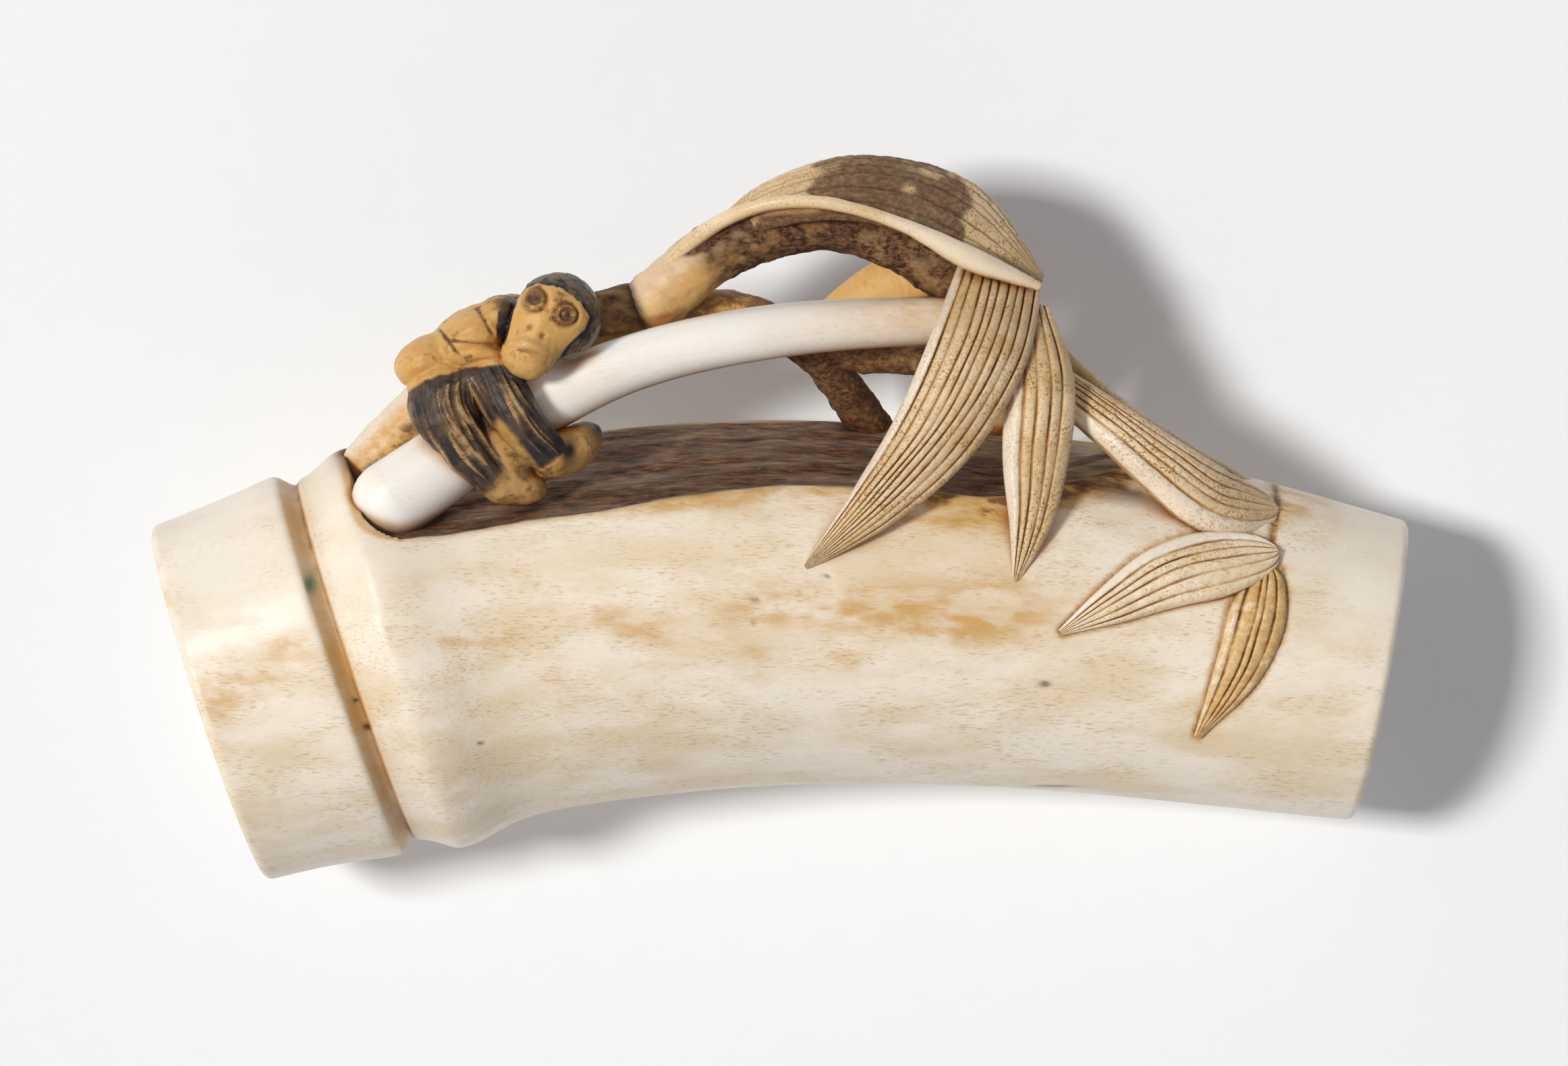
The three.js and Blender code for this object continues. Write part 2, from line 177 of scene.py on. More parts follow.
def through(keys, t):
    """Catmull-Rom: a smooth value, or point, through evenly spaced keys as t goes from 0 to 1."""
    keys, t = np.asarray(keys, float), np.asarray(t, float)
    last = len(keys) - 1
    i = np.minimum((t * last).astype(int), last - 1)
    f = t * last - i
    if keys.ndim > 1:
        f = f[..., None]
    a, b, c, d = (keys[np.clip(i + k, 0, last)] for k in (-1, 0, 1, 2))
    bend = (2 * a - 5 * b + 4 * c - d) * f**2 + (3 * b - a - 3 * c + d) * f**3
    return 0.5 * (2 * b + (c - a) * f + bend)


def unit(v):
    """The same way as v, with length 1."""
    return v / np.maximum(np.linalg.norm(v, axis=-1, keepdims=True), 1e-12)


def heading(keys, t):
    """The direction of the smooth line through the keys."""
    step = 1e-3
    return unit(through(keys, np.minimum(t + step, 1)) - through(keys, np.maximum(t - step, 0)))


CORNERS = np.random.default_rng(7).random(8192)


def grain(p, size, seed=0):
    """Smooth noise from 0 to 1: random values at the corners of a box lattice, eased between the corners."""
    q = p / np.asarray(size, float) + 31.7 * seed
    cell = np.floor(q).astype(np.int64)
    f = q - cell
    f = f * f * (3 - 2 * f)
    total = 0.0
    for dx in (0, 1):
        for dy in (0, 1):
            for dz in (0, 1):
                x, y, z = cell[..., 0] + dx, cell[..., 1] + dy, cell[..., 2] + dz
                value = CORNERS[(x * 73856093 ^ y * 19349663 ^ z * 83492791) & 8191]
                share = np.where(dx, f[..., 0], 1 - f[..., 0]) * np.where(dy, f[..., 1], 1 - f[..., 1])
                total = total + value * share * np.where(dz, f[..., 2], 1 - f[..., 2])
    return total


def layered(p, size, seed=0, layers=3):
    """Layers of grain, each half as large and half as strong as the one before, from 0 to 1."""
    size = np.asarray(size, float)
    total = sum(grain(p, size / 2**k, seed + k) / 2**k for k in range(layers))
    return total / (2 - 2.0 ** (1 - layers))


def spaced(start, stop, count, crowd):
    """count values from start to stop, closer together where crowd(value) is larger."""
    fine = np.linspace(start, stop, 4000)
    filled = np.cumsum(crowd(fine))
    return np.interp(np.linspace(filled[0], filled[-1], count), filled, fine)


def nearest(points, places):
    """For each point, how far the nearest of the places is, worked out for so many points at a time."""
    at_once = 20000
    parts = [points[k : k + at_once, None] for k in range(0, len(points), at_once)]
    return np.concatenate([np.sqrt(((part - places) ** 2).sum(-1).min(1)) for part in parts])


# ---- putting meshes in ----
def settle(p):
    """Height above the culm's axis becomes height above the table, and the back is worn flat there."""
    out = np.array(p, float)
    out[..., 2] = np.maximum(out[..., 2] + AXIS_HEIGHT - AXIS_FALL * out[..., 0], 0)
    return out


def ring_faces(rings, count):
    """Quads between rings of points laid one after another, each ring closed on itself, and fans of
    triangles from the two poles that follow the last ring."""
    r, k = np.meshgrid(np.arange(rings - 1), np.arange(count), indexing="ij")
    here, ahead = r * count + k, r * count + (k + 1) % count
    quads = np.stack([here, ahead, ahead + count, here + count], -1).reshape(-1, 4)
    k = np.arange(count)
    turn = (k + 1) % count
    first, last = rings * count, rings * count + 1
    start = np.stack([np.full(count, first), turn, k], -1)
    stop = np.stack([np.full(count, last), k + (rings - 1) * count, turn + (rings - 1) * count], -1)
    return quads, np.concatenate([start, stop])


def put_in(name, points, quads, triangles, marks, finish):
    """One piece of the carving from its points, its faces and, for each mark, a value at each point."""
    mesh = bpy.data.meshes.new(name)
    mesh.vertices.add(len(points))
    mesh.vertices.foreach_set("co", (settle(points) / 1000).astype(np.float32).ravel())
    corners = np.concatenate([quads.ravel(), triangles.ravel()]).astype(np.int32)
    starts = np.arange(len(quads)) * 4
    starts = np.concatenate([starts, quads.size + np.arange(len(triangles)) * 3]).astype(np.int32)
    mesh.loops.add(len(corners))
    mesh.loops.foreach_set("vertex_index", corners)
    mesh.polygons.add(len(starts))
    mesh.polygons.foreach_set("loop_start", starts)
    mesh.polygons.foreach_set("use_smooth", np.ones(len(starts), bool))
    mesh.update(calc_edges=True)
    mesh.validate()
    for mark, values in marks.items():
        values = np.broadcast_to(values, len(points)).astype(np.float32)
        mesh.attributes.new(mark, "FLOAT", "POINT").data.foreach_set("value", np.clip(values, 0, 1))
    mesh.materials.append(finish)
    piece = bpy.data.objects.new(name, mesh)
    bpy.context.scene.collection.objects.link(piece)
    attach(piece, "root")
    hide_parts("netsuke_carving")


def put_in_rings(name, rings, marks, finish):
    """A closed piece from an array of rings of points; both ends close on the middle of their ring."""
    count = rings.shape[1]
    ends = np.stack([rings[0].mean(0), rings[-1].mean(0)])
    points = np.concatenate([rings.reshape(-1, 3), ends])
    flat = {}
    for mark, values in marks.items():
        values = np.broadcast_to(values, rings.shape[:2])
        flat[mark] = np.concatenate([values.ravel(), [values[0].mean(), values[-1].mean()]])
    quads, triangles = ring_faces(len(rings), count)
    put_in(name, points, quads, triangles, flat, finish)


# ---- the culm ----
def axis_angle(x):
    """The way the axis runs at a station, as an angle from +X. It leans a little more at the node."""
    slope = power([k * term for k, term in enumerate(AXIS_CURVE)][1:], x)
    return np.arctan(slope) + NODE_LEAN * hump(x, -25, 7)


def culm_radius(x):
    """The tapering culm: a flare that ends in a lip, the node's groove, and the shoulder after it."""
    plain = CULM_RADIUS + CULM_TAPER[0] * x + CULM_TAPER[1] * x * x + 0.25 * hump(x, LEFT_END, 5)
    after = x - NODE
    flare = 0.6 * hump(after, -1.15, np.where(after < -1.15, 5.0, 0.9))
    lip = 0.2 * hump(after, -1.15, np.where(after < -1.15, 1.6, 0.7))
    shoulder = 1.25 * hump(after, 3, np.where(after < 3, 1.9, 3.6))
    return plain + flare + lip + shoulder - 0.3 * hump(after, 0, np.where(after < 0, 0.6, 0.22))


def node_groove(after):
    """1 on the slope of the node's groove, from the crest of the lip to the foot of the shoulder."""
    return ease(-0.95, -0.7, after) * (1 - ease(0.1, 0.35, after))


def cut_reach(x):
    """Which way the flat cut faces at a station, and its half width, as angles round the axis."""
    wider = CUT_WIDENING * (1 - ease(-12, 2, x))
    return CUT_FACING - wider, CUT_HALF_ANGLE + wider


def cut_wall(x, angle):
    """How far a station is past the wall at the cut's left end, whose lower corner is rounded."""
    facing, reach = cut_reach(x)
    inside = (reach - np.abs(angle - facing)) * CULM_RADIUS
    short = np.clip(CUT_CORNER - inside, 0, CUT_CORNER)
    return x - CUT_START - CUT_CORNER + np.sqrt(CUT_CORNER**2 - short**2)


def cut_depth(x, angle):
    """How deep the flat cut goes below the round of the culm, at a station and an angle from +Z to +Y: the
    radius less the distance to a flat chord."""
    around = culm_radius(x)
    opening = ease(0, 0.4, cut_wall(x, angle)) * (1 - ease(*CUT_FADE, x))
    facing, reach = cut_reach(x)
    half = reach * np.sqrt(opening)
    turn = np.clip(angle - facing, -1.45, 1.45)  # short of a right angle, where the chord runs off
    depth = around - around * np.cos(half) / np.cos(turn)
    return np.where(opening > 1e-6, depth, -1.0)


def culm_point(x, inset, radius, angle):
    """A point at an angle and a radius round the axis at a station, or `inset` along the axis from there."""
    lean = axis_angle(x)
    middle = ease(LEFT_END, -12, x) * (1 - ease(20, RIGHT_END, x))
    flatter = 1 + (BACK_ROUNDNESS - 1) * middle
    across = radius * np.sin(angle)
    return np.stack(
        [
            x - across * np.sin(lean) + inset * np.cos(lean),
            power(AXIS_CURVE, x) + across * np.cos(lean) + inset * np.sin(lean),
            radius * np.cos(angle) * flatter,
        ],
        -1,
    )


def front_of(x, y):
    """Height of the culm's front skin over a point, from the axis."""
    lean = axis_angle(x)
    station = x + (y - power(AXIS_CURVE, x)) * np.sin(lean) * np.cos(lean)
    across = (y - power(AXIS_CURVE, station)) * np.cos(axis_angle(station))
    return np.sqrt(np.maximum(0, culm_radius(station) ** 2 - across**2)) * BACK_ROUNDNESS


# Tan patches of the polished skin: x, y, half length, half width, slope along x, strength.
SKIN_PATCHES = (
    (-33.0, -10.6, 2.3, 1.3, 0.12, 0.9),
    (-29.4, -7.8, 1.3, 0.8, 0.2, 0.8),
    (-23.5, -6.5, 0.6, 0.6, 0.1, 0.5),
    (-20.6, -7.6, 2.2, 0.55, 0.15, 0.8),
    (-20.8, -11.8, 0.8, 0.6, 0.0, 0.35),
    (-19.7, -16.6, 1.6, 0.9, 0.1, 0.35),
    (-16.6, -7.1, 1.6, 0.6, 0.1, 0.35),
    (-10.5, -6.0, 2.6, 0.6, -0.15, 0.85),
    (-7.8, -7.8, 1.3, 0.9, 0.1, 0.7),
    (-12.9, -9.4, 2.2, 0.8, 0.15, 0.4),
    (-5.8, -9.7, 1.2, 0.35, 0.0, 0.8),
    (-1.6, -4.9, 0.45, 0.42, 0.0, 1.6),
    (-1.5, -5.6, 2.2, 1.2, 0.1, 0.7),
    (-1.5, -8.0, 0.8, 0.6, 0.2, 0.5),
    (-1.5, -9.7, 1.2, 0.35, 0.0, 0.35),
    (4.0, -8.6, 1.4, 0.7, -0.1, 0.7),
    (3.6, -5.6, 3.4, 0.9, -0.1, 0.9),
    (9.6, -5.4, 4.2, 1.3, -0.1, 0.8),
    (11.4, -6.4, 3.0, 0.8, 0.0, 0.9),
    (13.8, -4.4, 2.0, 0.9, -0.2, 0.6),
    (10.1, -9.1, 2.2, 0.35, 0.0, 0.35),
    (25.4, -12.9, 1.0, 0.5, 0.2, 0.5),
    (32.8, -7.7, 1.0, 0.5, 0.0, 0.35),
    (35.0, -8.7, 0.8, 0.7, 0.0, 0.4),
    (33.7, -11.8, 0.9, 0.5, 0.0, 0.4),
    (30.9, 0.8, 1.3, 0.6, 0.0, 1.2),
)

# Small dark pits: x, y, half length, half width.
PITS = (
    (-24.75, -12.5, 0.2, 0.16),
    (-25.4, -10.9, 0.14, 0.1),
    (-18.0, -13.5, 0.2, 0.1),
    (-1.65, -4.95, 0.17, 0.16),
    (-1.8, -6.35, 0.13, 0.1),
    (2.6, -3.55, 0.16, 0.1),
    (15.7, -10.0, 0.34, 0.17),
    (35.7, -14.5, 0.42, 0.09),
    (16.4, -16.35, 1.5, 0.07),
)

KNOT = (-26.0, 4.2)  # a dark knot in the node's groove
VERDIGRIS = (-28.2, -4.0)  # a green spot in the same groove, farther down the front
LEAF_JOINT = ((30.0, 2.4), (29.9, 0.6), (29.5, -1.2), (29.3, -3.2), (29.9, -4.4))  # where three leaves meet


def beside_line(p, line):
    """Distance from points of the front skin to a line of points."""
    far = np.full(p.shape[:-1], FAR_AWAY)
    for a, b in zip(np.array(line[:-1]), np.array(line[1:])):
        f = np.clip(((p - a) @ (b - a)) / ((b - a) @ (b - a)), 0, 1)
        far = np.minimum(far, np.linalg.norm(p - a - f[..., None] * (b - a), axis=-1))
    return far


def beside_leaves(p, front):
    """Distance from points of the front skin to the edges of the two leaves in relief."""
    edges = np.concatenate([leaf_edges(**kind) for kind in (LOW_LEAF, SIDE_LEAF)])
    far = np.full(p.shape[:2], 9.0)
    near = front & (p[..., 0] > 14) & (p[..., 0] < 32)
    far[near] = nearest(p[near][:, :2], edges[:, :2])
    return far


def culm_grid():
    """Stations along the axis as a column, and angles round it as a row. Both are closer together where the
    carving is finer: at the node, over the leaves in relief, and away from the plain back."""

    def finer_in_front(angle):
        return 0.8 + 1.7 * (1 - ease(2.0, 2.5, angle) * (1 - ease(4.7, 5.1, angle)))

    def finer_at_node(x):
        relief = ease(14, 17, x) * (1 - ease(29, 31, x))
        return 1 + 3.5 * hump(x, -26.4, 1.0) + 1.9 * hump(x, -22.0, 1.8) + 0.5 * relief

    angles = spaced(0, 2 * math.pi, CULM_SPOKES + 1, finer_in_front)
    along = spaced(LEFT_END + EDGE_ROUND, RIGHT_END - EDGE_ROUND, CULM_RINGS, finer_at_node)
    return along[:, None], angles[:-1][::-1][None, :]


def end_face(station, inwards, angles):
    """Rings from the middle of an end face out to its rounded edge, with the marks of the porous core, which
    lies a little deeper, and of the tan clouds round it. `inwards` is 1 or -1, the way into the culm."""
    around = culm_radius(np.full(1, station + inwards * EDGE_ROUND))
    edge = 1 - EDGE_ROUND / around * np.linspace(1, 0, 8)[:-1] ** 1.6
    share = np.concatenate([np.linspace(0.03, 0.93, 17), edge])
    r = share[:, None] * around
    rim_curve = np.sqrt(np.maximum(0, 1 - np.clip((r - around + EDGE_ROUND) / EDGE_ROUND, 0, 1) ** 2))
    core = 1 - ease(around - CORE_EDGE - 0.5, around - CORE_EDGE + 0.3, r)
    flat = culm_point(np.full((1, 1), station), 0, r, angles)
    spongy = layered(flat, 0.8, 41) - 0.5
    inset = EDGE_ROUND * (1 - rim_curve) + core * (END_DISH + 0.9 * spongy)
    rings = culm_point(np.full((1, 1), station), inwards * inset, r, angles)
    return rings, core + 0 * inset, 0.35 * ease(0.55, 0.9, layered(flat, 1.6, 43)) + 0 * inset


def culm():
    """A ring of points at each station along the culm's axis, at a radius that varies with the station and
    the angle, then the two end faces as rings that shrink to the middle."""
    along, angles = culm_grid()
    facing, reach = cut_reach(along)
    depth = cut_depth(along, angles)
    soft = 0.5 * (depth + np.sqrt(depth**2 + 0.07**2)) * (depth > -0.9)  # the depth, with its edge rounded
    floor = ease(0.0, 0.22, depth)
    plain = culm_point(along, 0, culm_radius(along) - soft, angles)
    x, y, z = np.moveaxis(plain, -1, 0)
    front = z > 0

    # a moat where stems go in and where leaves are cut free of the skin
    root = np.minimum(limb_place(plain, FRONT_STEM)[0], limb_place(plain, REAR_STEM)[0])
    roots = (1 - ease(0.05, 0.28, root)) * (along < -12)
    edge_far = beside_leaves(plain, front)
    moat = hump(edge_far, 0, 0.13) * (0.2 + layered(plain, 1.6, 61))
    joint_far = beside_line(plain[..., :2], LEAF_JOINT)
    joint = hump(joint_far, 0, 0.13 + 0.12 * grain(plain, 1.2, 65)) * front

    # the unevenness of the skin, the fibres and the hollow of the cut's floor, and small pits
    fibres = layered(plain, (3.4, 0.42, 0.42), 3) - 0.5 + 0.7 * (grain(plain, (1.5, 0.2, 0.2), 9) - 0.5)
    wander = (layered(plain, 5.0, 1) - 0.5) * 0.12 + (grain(plain, (3.0, 0.8, 0.8), 2) - 0.5) * 0.03
    wander = wander * ease(0, 2, along - LEFT_END) * ease(0, 2, RIGHT_END - along)
    pits = np.max([hump(np.hypot((x - px) / a, (y - py) / b), 0, 1) for px, py, a, b in PITS], axis=0) * front
    dished = 0.25 * floor * (1 - ((angles - facing) / reach) ** 2).clip(0)
    radius = culm_radius(along) - soft + wander * (1 - floor) + 0.3 * floor * fibres - 0.13 * pits - dished
    radius = radius - 0.25 * roots - 0.14 * moat - 0.15 * joint
    side = culm_point(along, 0, radius, angles)

    # the node's groove: its dirt, and the crack along its foot
    after = along - NODE
    slope = node_groove(after)
    groove = slope + 0.25 * hump(after, 0.4, 0.3) * (0.5 + layered(side, 1.2, 5))
    dirty = slope * (0.12 + 0.7 * ease(1.0, 4.5, y)) * layered(side, 1.0, 7)
    crack = hump(after, 0.08, 0.13) * (0.4 + 0.6 * ease(0.3, 0.65, layered(side, 0.9, 6)))
    crack = crack * (0.5 + 0.5 * ease(-4, 3, y))
    knot = hump(np.hypot(x - KNOT[0], y - KNOT[1]), 0, 1.1)
    green = hump(np.hypot((x - VERDIGRIS[0]) * 1.5, y - VERDIGRIS[1]), 0, 0.62) * front * slope

    # tan patches of the skin
    patches = 0.0
    for px, py, a, b, slant, strength in SKIN_PATCHES:
        off = y - py - slant * (x - px)
        patches = patches + strength * hump(x, px, 1.25 * a) * hump(off, 0, 1.4 * b)
    blotches = ease(0.34, 0.66, layered(side, (1.8, 0.7, 0.7), 21, 4))
    patches = np.minimum(patches, 1.3) * (0.25 + 0.9 * blotches) * ease(-1, 3, side[..., 2])

    # the stained rim and wall of the cut, the glow below it, and its bare floor
    across = np.abs(angles - facing)
    past = cut_wall(along, angles)
    opening = ease(-0.6, 0.2, past) * (1 - ease(19, 24, along))
    half = reach * np.sqrt(np.clip(1 - ease(*CUT_FADE, along), 0.03, 1))
    out = (across - half) * culm_radius(along)
    wide = 0.18 + 1.0 * ease(-14, -2, along) * (0.5 + layered(side, (2.5, 0.8, 0.8), 33))
    rim = np.where(out > 0, hump(out, 0, wide), 1) * opening * (1 - floor) * (0.55 + 0.5 * blotches)
    wall = hump(past, -0.1, 0.26) * (across < half)
    glow = ease(2, 11, along) * (1 - ease(20, 25, along)) * (1 - ease(0.8, 3.6, out)) * (1 - floor)
    faded = ease(8, 15, along) * (1 - ease(19.5, 22.5, along)) * (1 - ease(0.36, 0.62, across))
    bare = floor * (1 - ease(14, 21, along)) * (0.75 + 0.4 * layered(plain, (5.0, 0.9, 0.9), 35))
    bare = np.maximum(bare, 0.9 * faded * ease(0.3, 0.62, layered(side, (2.4, 0.8, 0.8), 31)))

    stain = 0.1 * groove + 0.5 * dirty + 0.3 * patches + 0.5 * rim * ease(-20, -6, along)
    stain = stain + 0.45 * glow * (0.35 + blotches)
    stain = np.maximum(stain, 0.5 * hump(edge_far, 0, 0.3) * (0.3 + layered(side, 0.9, 63)))
    stain = stain + 0.3 * (1 - ease(0.2, 0.7, root)) * (along < -12) + 0.6 * joint
    stain = stain + 0.45 * hump(joint_far, 0, 0.8) * (x > 29.2) * front * blotches
    warm = 0.8 * groove + 0.42 * patches + 0.85 * wall + 0.5 * rim + 0.35 * glow

    # where the polish is whitest: the lower ends, the lip and the shoulder, and beside the cut's front rim.
    # In part this is a painted sheen that stands for a broad lamp's highlight on the upper left end, the
    # shoulder and the rim
    white = (1 - ease(-29, -26.8, along)) * ease(-10.5, -8, y)
    white = white + hump(after, -1.25, 0.5) * ease(-9, -4, y) * 0.8
    white = 0.8 * white + 0.9 * hump(along, -23.7, 1.6) * ease(-9, -5, y)
    white = white + 0.5 * hump(out, 1.6, 1.2) * (1 - ease(-8, 4, x))
    white = white + 0.9 * ease(30.5, 33.5, along) * ease(-14, -6, y)
    white = np.clip(white, 0, 1) * (1 - patches.clip(0, 1)) * front * (1 - floor)

    left, left_core, left_stain = end_face(LEFT_END, 1, angles)
    right, right_core, right_stain = end_face(RIGHT_END, -1, angles)

    def with_ends(values, left_end=0 * left_core, right_end=0 * right_core):
        return np.concatenate([left_end, values, right_end[::-1]])

    pits = pits * (1 - floor)
    marks = {
        "bare": with_ends(np.maximum(bare, knot), left_core, right_core),
        "stain": with_ends(stain, left_stain, right_stain),
        "line": with_ends(crack + pits + 0.5 * moat + 0.5 * knot + 0.4 * joint),
        "warm": with_ends(np.clip(warm, 0, 0.9) * (1 - floor)),
        "verdigris": with_ends(green),
        # pale: whiter polish, partly a painted sheen, carried onto the rims of the end faces
        "pale": 0.6 * with_ends(white, (1 - left_core) * white[:1], (1 - right_core) * white[-1:]),
    }
    put_in_rings("culm", with_ends(side, left, right), marks, antler)


# ---- stems ----
def stem(name, line, marks, finish, sides, steps, uneven=0.0, seed=1):
    """Rings square to a smooth line, with radii at even steps, and a half round at each end. `marks` gives
    the values of each mark from the points, the ways they face, and how far along the stem they are."""
    points, radii = line
    cap = np.linspace(0, math.pi / 2, CAP_RINGS + 1)[1:]
    t = np.concatenate([np.zeros(CAP_RINGS), np.linspace(0, 1, steps), np.ones(CAP_RINGS)])
    shrink = np.concatenate([np.cos(cap)[::-1], np.ones(steps), np.cos(cap)]).clip(0.02)
    out = np.concatenate([-np.sin(cap)[::-1], np.zeros(steps), np.sin(cap)])
    radius = through(radii, t)[:, None]
    direction = heading(points, t)
    side = unit(np.cross([0, 0, 1.0], direction))
    face = np.cross(direction, side)
    centre = through(points, t) + direction * out[:, None] * radius
    a = np.linspace(0, 2 * math.pi, sides, endpoint=False)[None, :, None]
    spoke = side[:, None] * np.cos(a) + face[:, None] * np.sin(a)
    rings = centre[:, None] + spoke * (radius * shrink[:, None])[..., None]
    if uneven:
        rough = layered(rings, (1.1, 0.6, 0.6), seed, 4) - 0.5
        rings = rings + spoke * (uneven * rough * shrink[:, None])[..., None]
    put_in_rings(name, rings, marks(rings, spoke, t[:, None]), finish)


def front_stem_marks(p, n, t):
    """Honey along the lower side, and towards the leaves."""
    low = -n[..., 1] - 0.3 * n[..., 2]
    return {
        "stain": 0.5 * ease(0.75, 1, low) + 0.3 * ease(0.7, 1, t) * (0.4 + layered(p, 1.2, 4)),
        "warm": 0.3 * ease(0.6, 1, t) + 0.4 * ease(0.5, 1, low),
    }


def rear_stem_marks(p, n, t):
    """A pale root, amber below with dark flecks, and bark from its middle up to the dark joint."""
    low, root = -n[..., 1], 1 - ease(0.3, 0.5, t)
    bark = ease(0.3, 0.6, layered(p, (1.8, 0.7, 0.7), 8))
    flecks = ease(0.56, 0.7, grain(p, 0.35, 9))
    stain = 0.1 + 0.5 * ease(0.62, 0.78, t) * (0.4 + layered(p, 1.0, 5))
    joint = 0.9 * hump(limb_place(p, ARCHED_STEM)[0], 0, 0.25)
    return {
        "stain": stain + 0.7 * ease(-0.6, 0.1, low) * ease(0.2, 0.5, layered(p, 0.7, 6)) * root,
        "bare": ease(0.6, 0.75, t) * (0.45 + 0.5 * bark),
        "line": joint + 0.6 * (1 - ease(0.3, 0.45, t)) * ease(-0.3, 0.2, low) * flecks,
        "pale": 0.6 * (1 - ease(0.4, 0.6, t)) * ease(0.1, 0.5, n[..., 1] + 0.3 * n[..., 2]),
        "warm": 0.5 * ease(0.6, 0.8, t) + 0.7 * ease(-0.6, 0, low) * root,
    }


def slit_bark_and_shade(p):
    """Where a slanting hollow shows in the smooth left part of the arched stem. It is not cut: it is painted
    with dark bark and painted shade.
    """
    x, y = p[..., 0] + 4.8, p[..., 1] - 16.5
    return hump(np.hypot(0.6 * (x * 0.85 + y * 0.5), 1.9 * (y * 0.85 - x * 0.5)), 0, 1)


def arched_stem_marks(p, n, t):
    """Smooth and amber near the joint, with one dark slit of bark and painted shade, and bark from there on.
    """
    low = -n[..., 1]
    bark = ease(0.13, 0.26, t + 0.05 * (layered(p, 1.2, 15) - 0.5))
    bark = bark * (0.75 + 0.35 * ease(0.3, 0.6, layered(p, 0.8, 14)))
    # the slit: dark bark with painted shade, standing in for a hollow
    slit = ease(0.3, 0.75, slit_bark_and_shade(p) * (0.5 + layered(p, 0.7, 16))) * (n[..., 2] > 0)
    return {
        "stain": 0.1 + 0.5 * layered(p, 1.3, 12) * ease(0.0, 0.9, low),
        "warm": (0.2 + 0.5 * ease(0.1, 0.8, low)) * (1 - ease(0.3, 0.5, t)),
        "bare": bark + slit,
        "line": 0.9 * hump(limb_place(p, REAR_STEM)[0], 0, 0.3),
        "pale": 0.45 * (1 - ease(0.3, 0.45, t)) * ease(0.2, 0.8, n[..., 1] + 0.5 * n[..., 2]),
    }


def branch_marks(p, n, t):
    """Bark all over."""
    clouds = 0.5 + layered(p, 1.3, 17)
    return {"stain": 0.8 * clouds, "warm": 0.35 * clouds, "bare": 0.85 * (0.5 + layered(p, 1.3, 19))}


def rear_branch_marks(p, n, t):
    """Bark that starts some way from the joint."""
    bare = 0.9 * ease(0.3, 0.5, t + 0.2 * (layered(p, 1.0, 21) - 0.5))
    return branch_marks(p, n, t) | {"bare": bare}


def roof_edge_marks(p, n, t):
    """Darker where the rolled edge looks down and back towards the culm, and pale before its end."""
    under = -0.6 * n[..., 2] - 0.8 * n[..., 1]
    clouds = 0.6 + 0.8 * layered(p, 1.4, 3)
    return {
        "stain": 0.6 * ease(0.1, 1, under) * clouds,
        "warm": 0.7 * ease(-0.3, 1, under) * clouds,
        "pale": 0.35 * ease(0.6, 0.72, t) * (1 - ease(0.92, 0.99, t)),
    }


def stems():
    """The two stems, what they branch into, and the rolled edge of the roof leaf."""
    stem("front_stem", FRONT_STEM, front_stem_marks, stem_antler, 48, 180)
    stem("rear_stem", REAR_STEM, rear_stem_marks, weathered, 56, 200, 0.2)
    stem("arched_stem", ARCHED_STEM, arched_stem_marks, weathered, 64, 220, 0.42, 11)
    stem("rear_branch", REAR_BRANCH, rear_branch_marks, weathered, 32, 90, 0.4, 4)
    stem("cross_branch", CROSS_BRANCH, branch_marks, weathered, 28, 60, 0.45, 5)
    stem("roof_leaf_edge", ROOF_LEAF_EDGE, roof_edge_marks, ridged, 28, 140, 0.08, 6)


# ---- leaves ----
def on_skin(points, camber, proud):
    """Points and facings for a leaf that lies on the culm's skin and stands a little proud of it."""
    flat = np.asarray(points, float)
    height = front_of(flat[:, 0], flat[:, 1]) + proud - camber[0]
    tilt = (flat[:, 1] - power(AXIS_CURVE, flat[:, 0])) / culm_radius(flat[:, 0])
    return np.column_stack([flat, height]), np.column_stack([0 * tilt, tilt, 0 * tilt + 0.8])


def leaf_frame(points, face, t):
    """The middle line of a leaf, the way across it, and the way out of its back."""
    along = heading(points, t)
    side = unit(np.cross(along, through(face, t)))
    return through(points, t), side, unit(np.cross(side, along))


def leaf_edges(points, widths, camber, proud):
    """Points along both edges of a leaf in relief."""
    points, face = on_skin(points, camber, proud)
    t = np.linspace(0, 1, 90)
    middle, side, _ = leaf_frame(points, face, t)
    half = through(widths, t)[:, None] / 2
    return np.concatenate([middle + side * half, middle - side * half])


def rib_places(t, ribs, margin, seed):
    """Lines from base to tip, counted in ribs from one edge of a leaf, and the place of each across the
    leaf, from 0 to 1. The grooves are set a little unevenly, and waver and drift on the way to the tip."""
    lines = np.append((np.arange(ribs)[:, None] + RIB_STEPS).ravel(), ribs)[None, :]
    random = np.random.default_rng(seed)
    shift = np.concatenate([[0], random.uniform(-0.22, 0.22, ribs - 1), [0]]) / ribs
    drift = np.concatenate([[0], random.uniform(-0.2, 0.2, ribs - 1), [0]]) / ribs
    if margin:
        share = np.where(lines < 1, lines * margin, margin + (lines - 1) / (ribs - 1) * (1 - margin))
    else:
        share = lines / ribs
    waver = 0.012 * np.sin(7 * t + 0.5 * lines + seed) + 0.006 * np.sin(19 * t + 1.1 * lines)
    share = share + waver * 4 * share * (1 - share) + np.interp(lines, np.arange(ribs + 1), shift)
    return lines, share + np.interp(lines, np.arange(ribs + 1), drift) * np.sin(2.5 * t + seed)


def rounded(half, past, length):
    """Half widths brought in along a quarter ellipse, as `past` goes from 0 to `length`."""
    return half * np.sqrt(np.clip(1 - (np.clip(past, 0, 1) / length) ** 2, 0.003, 1))


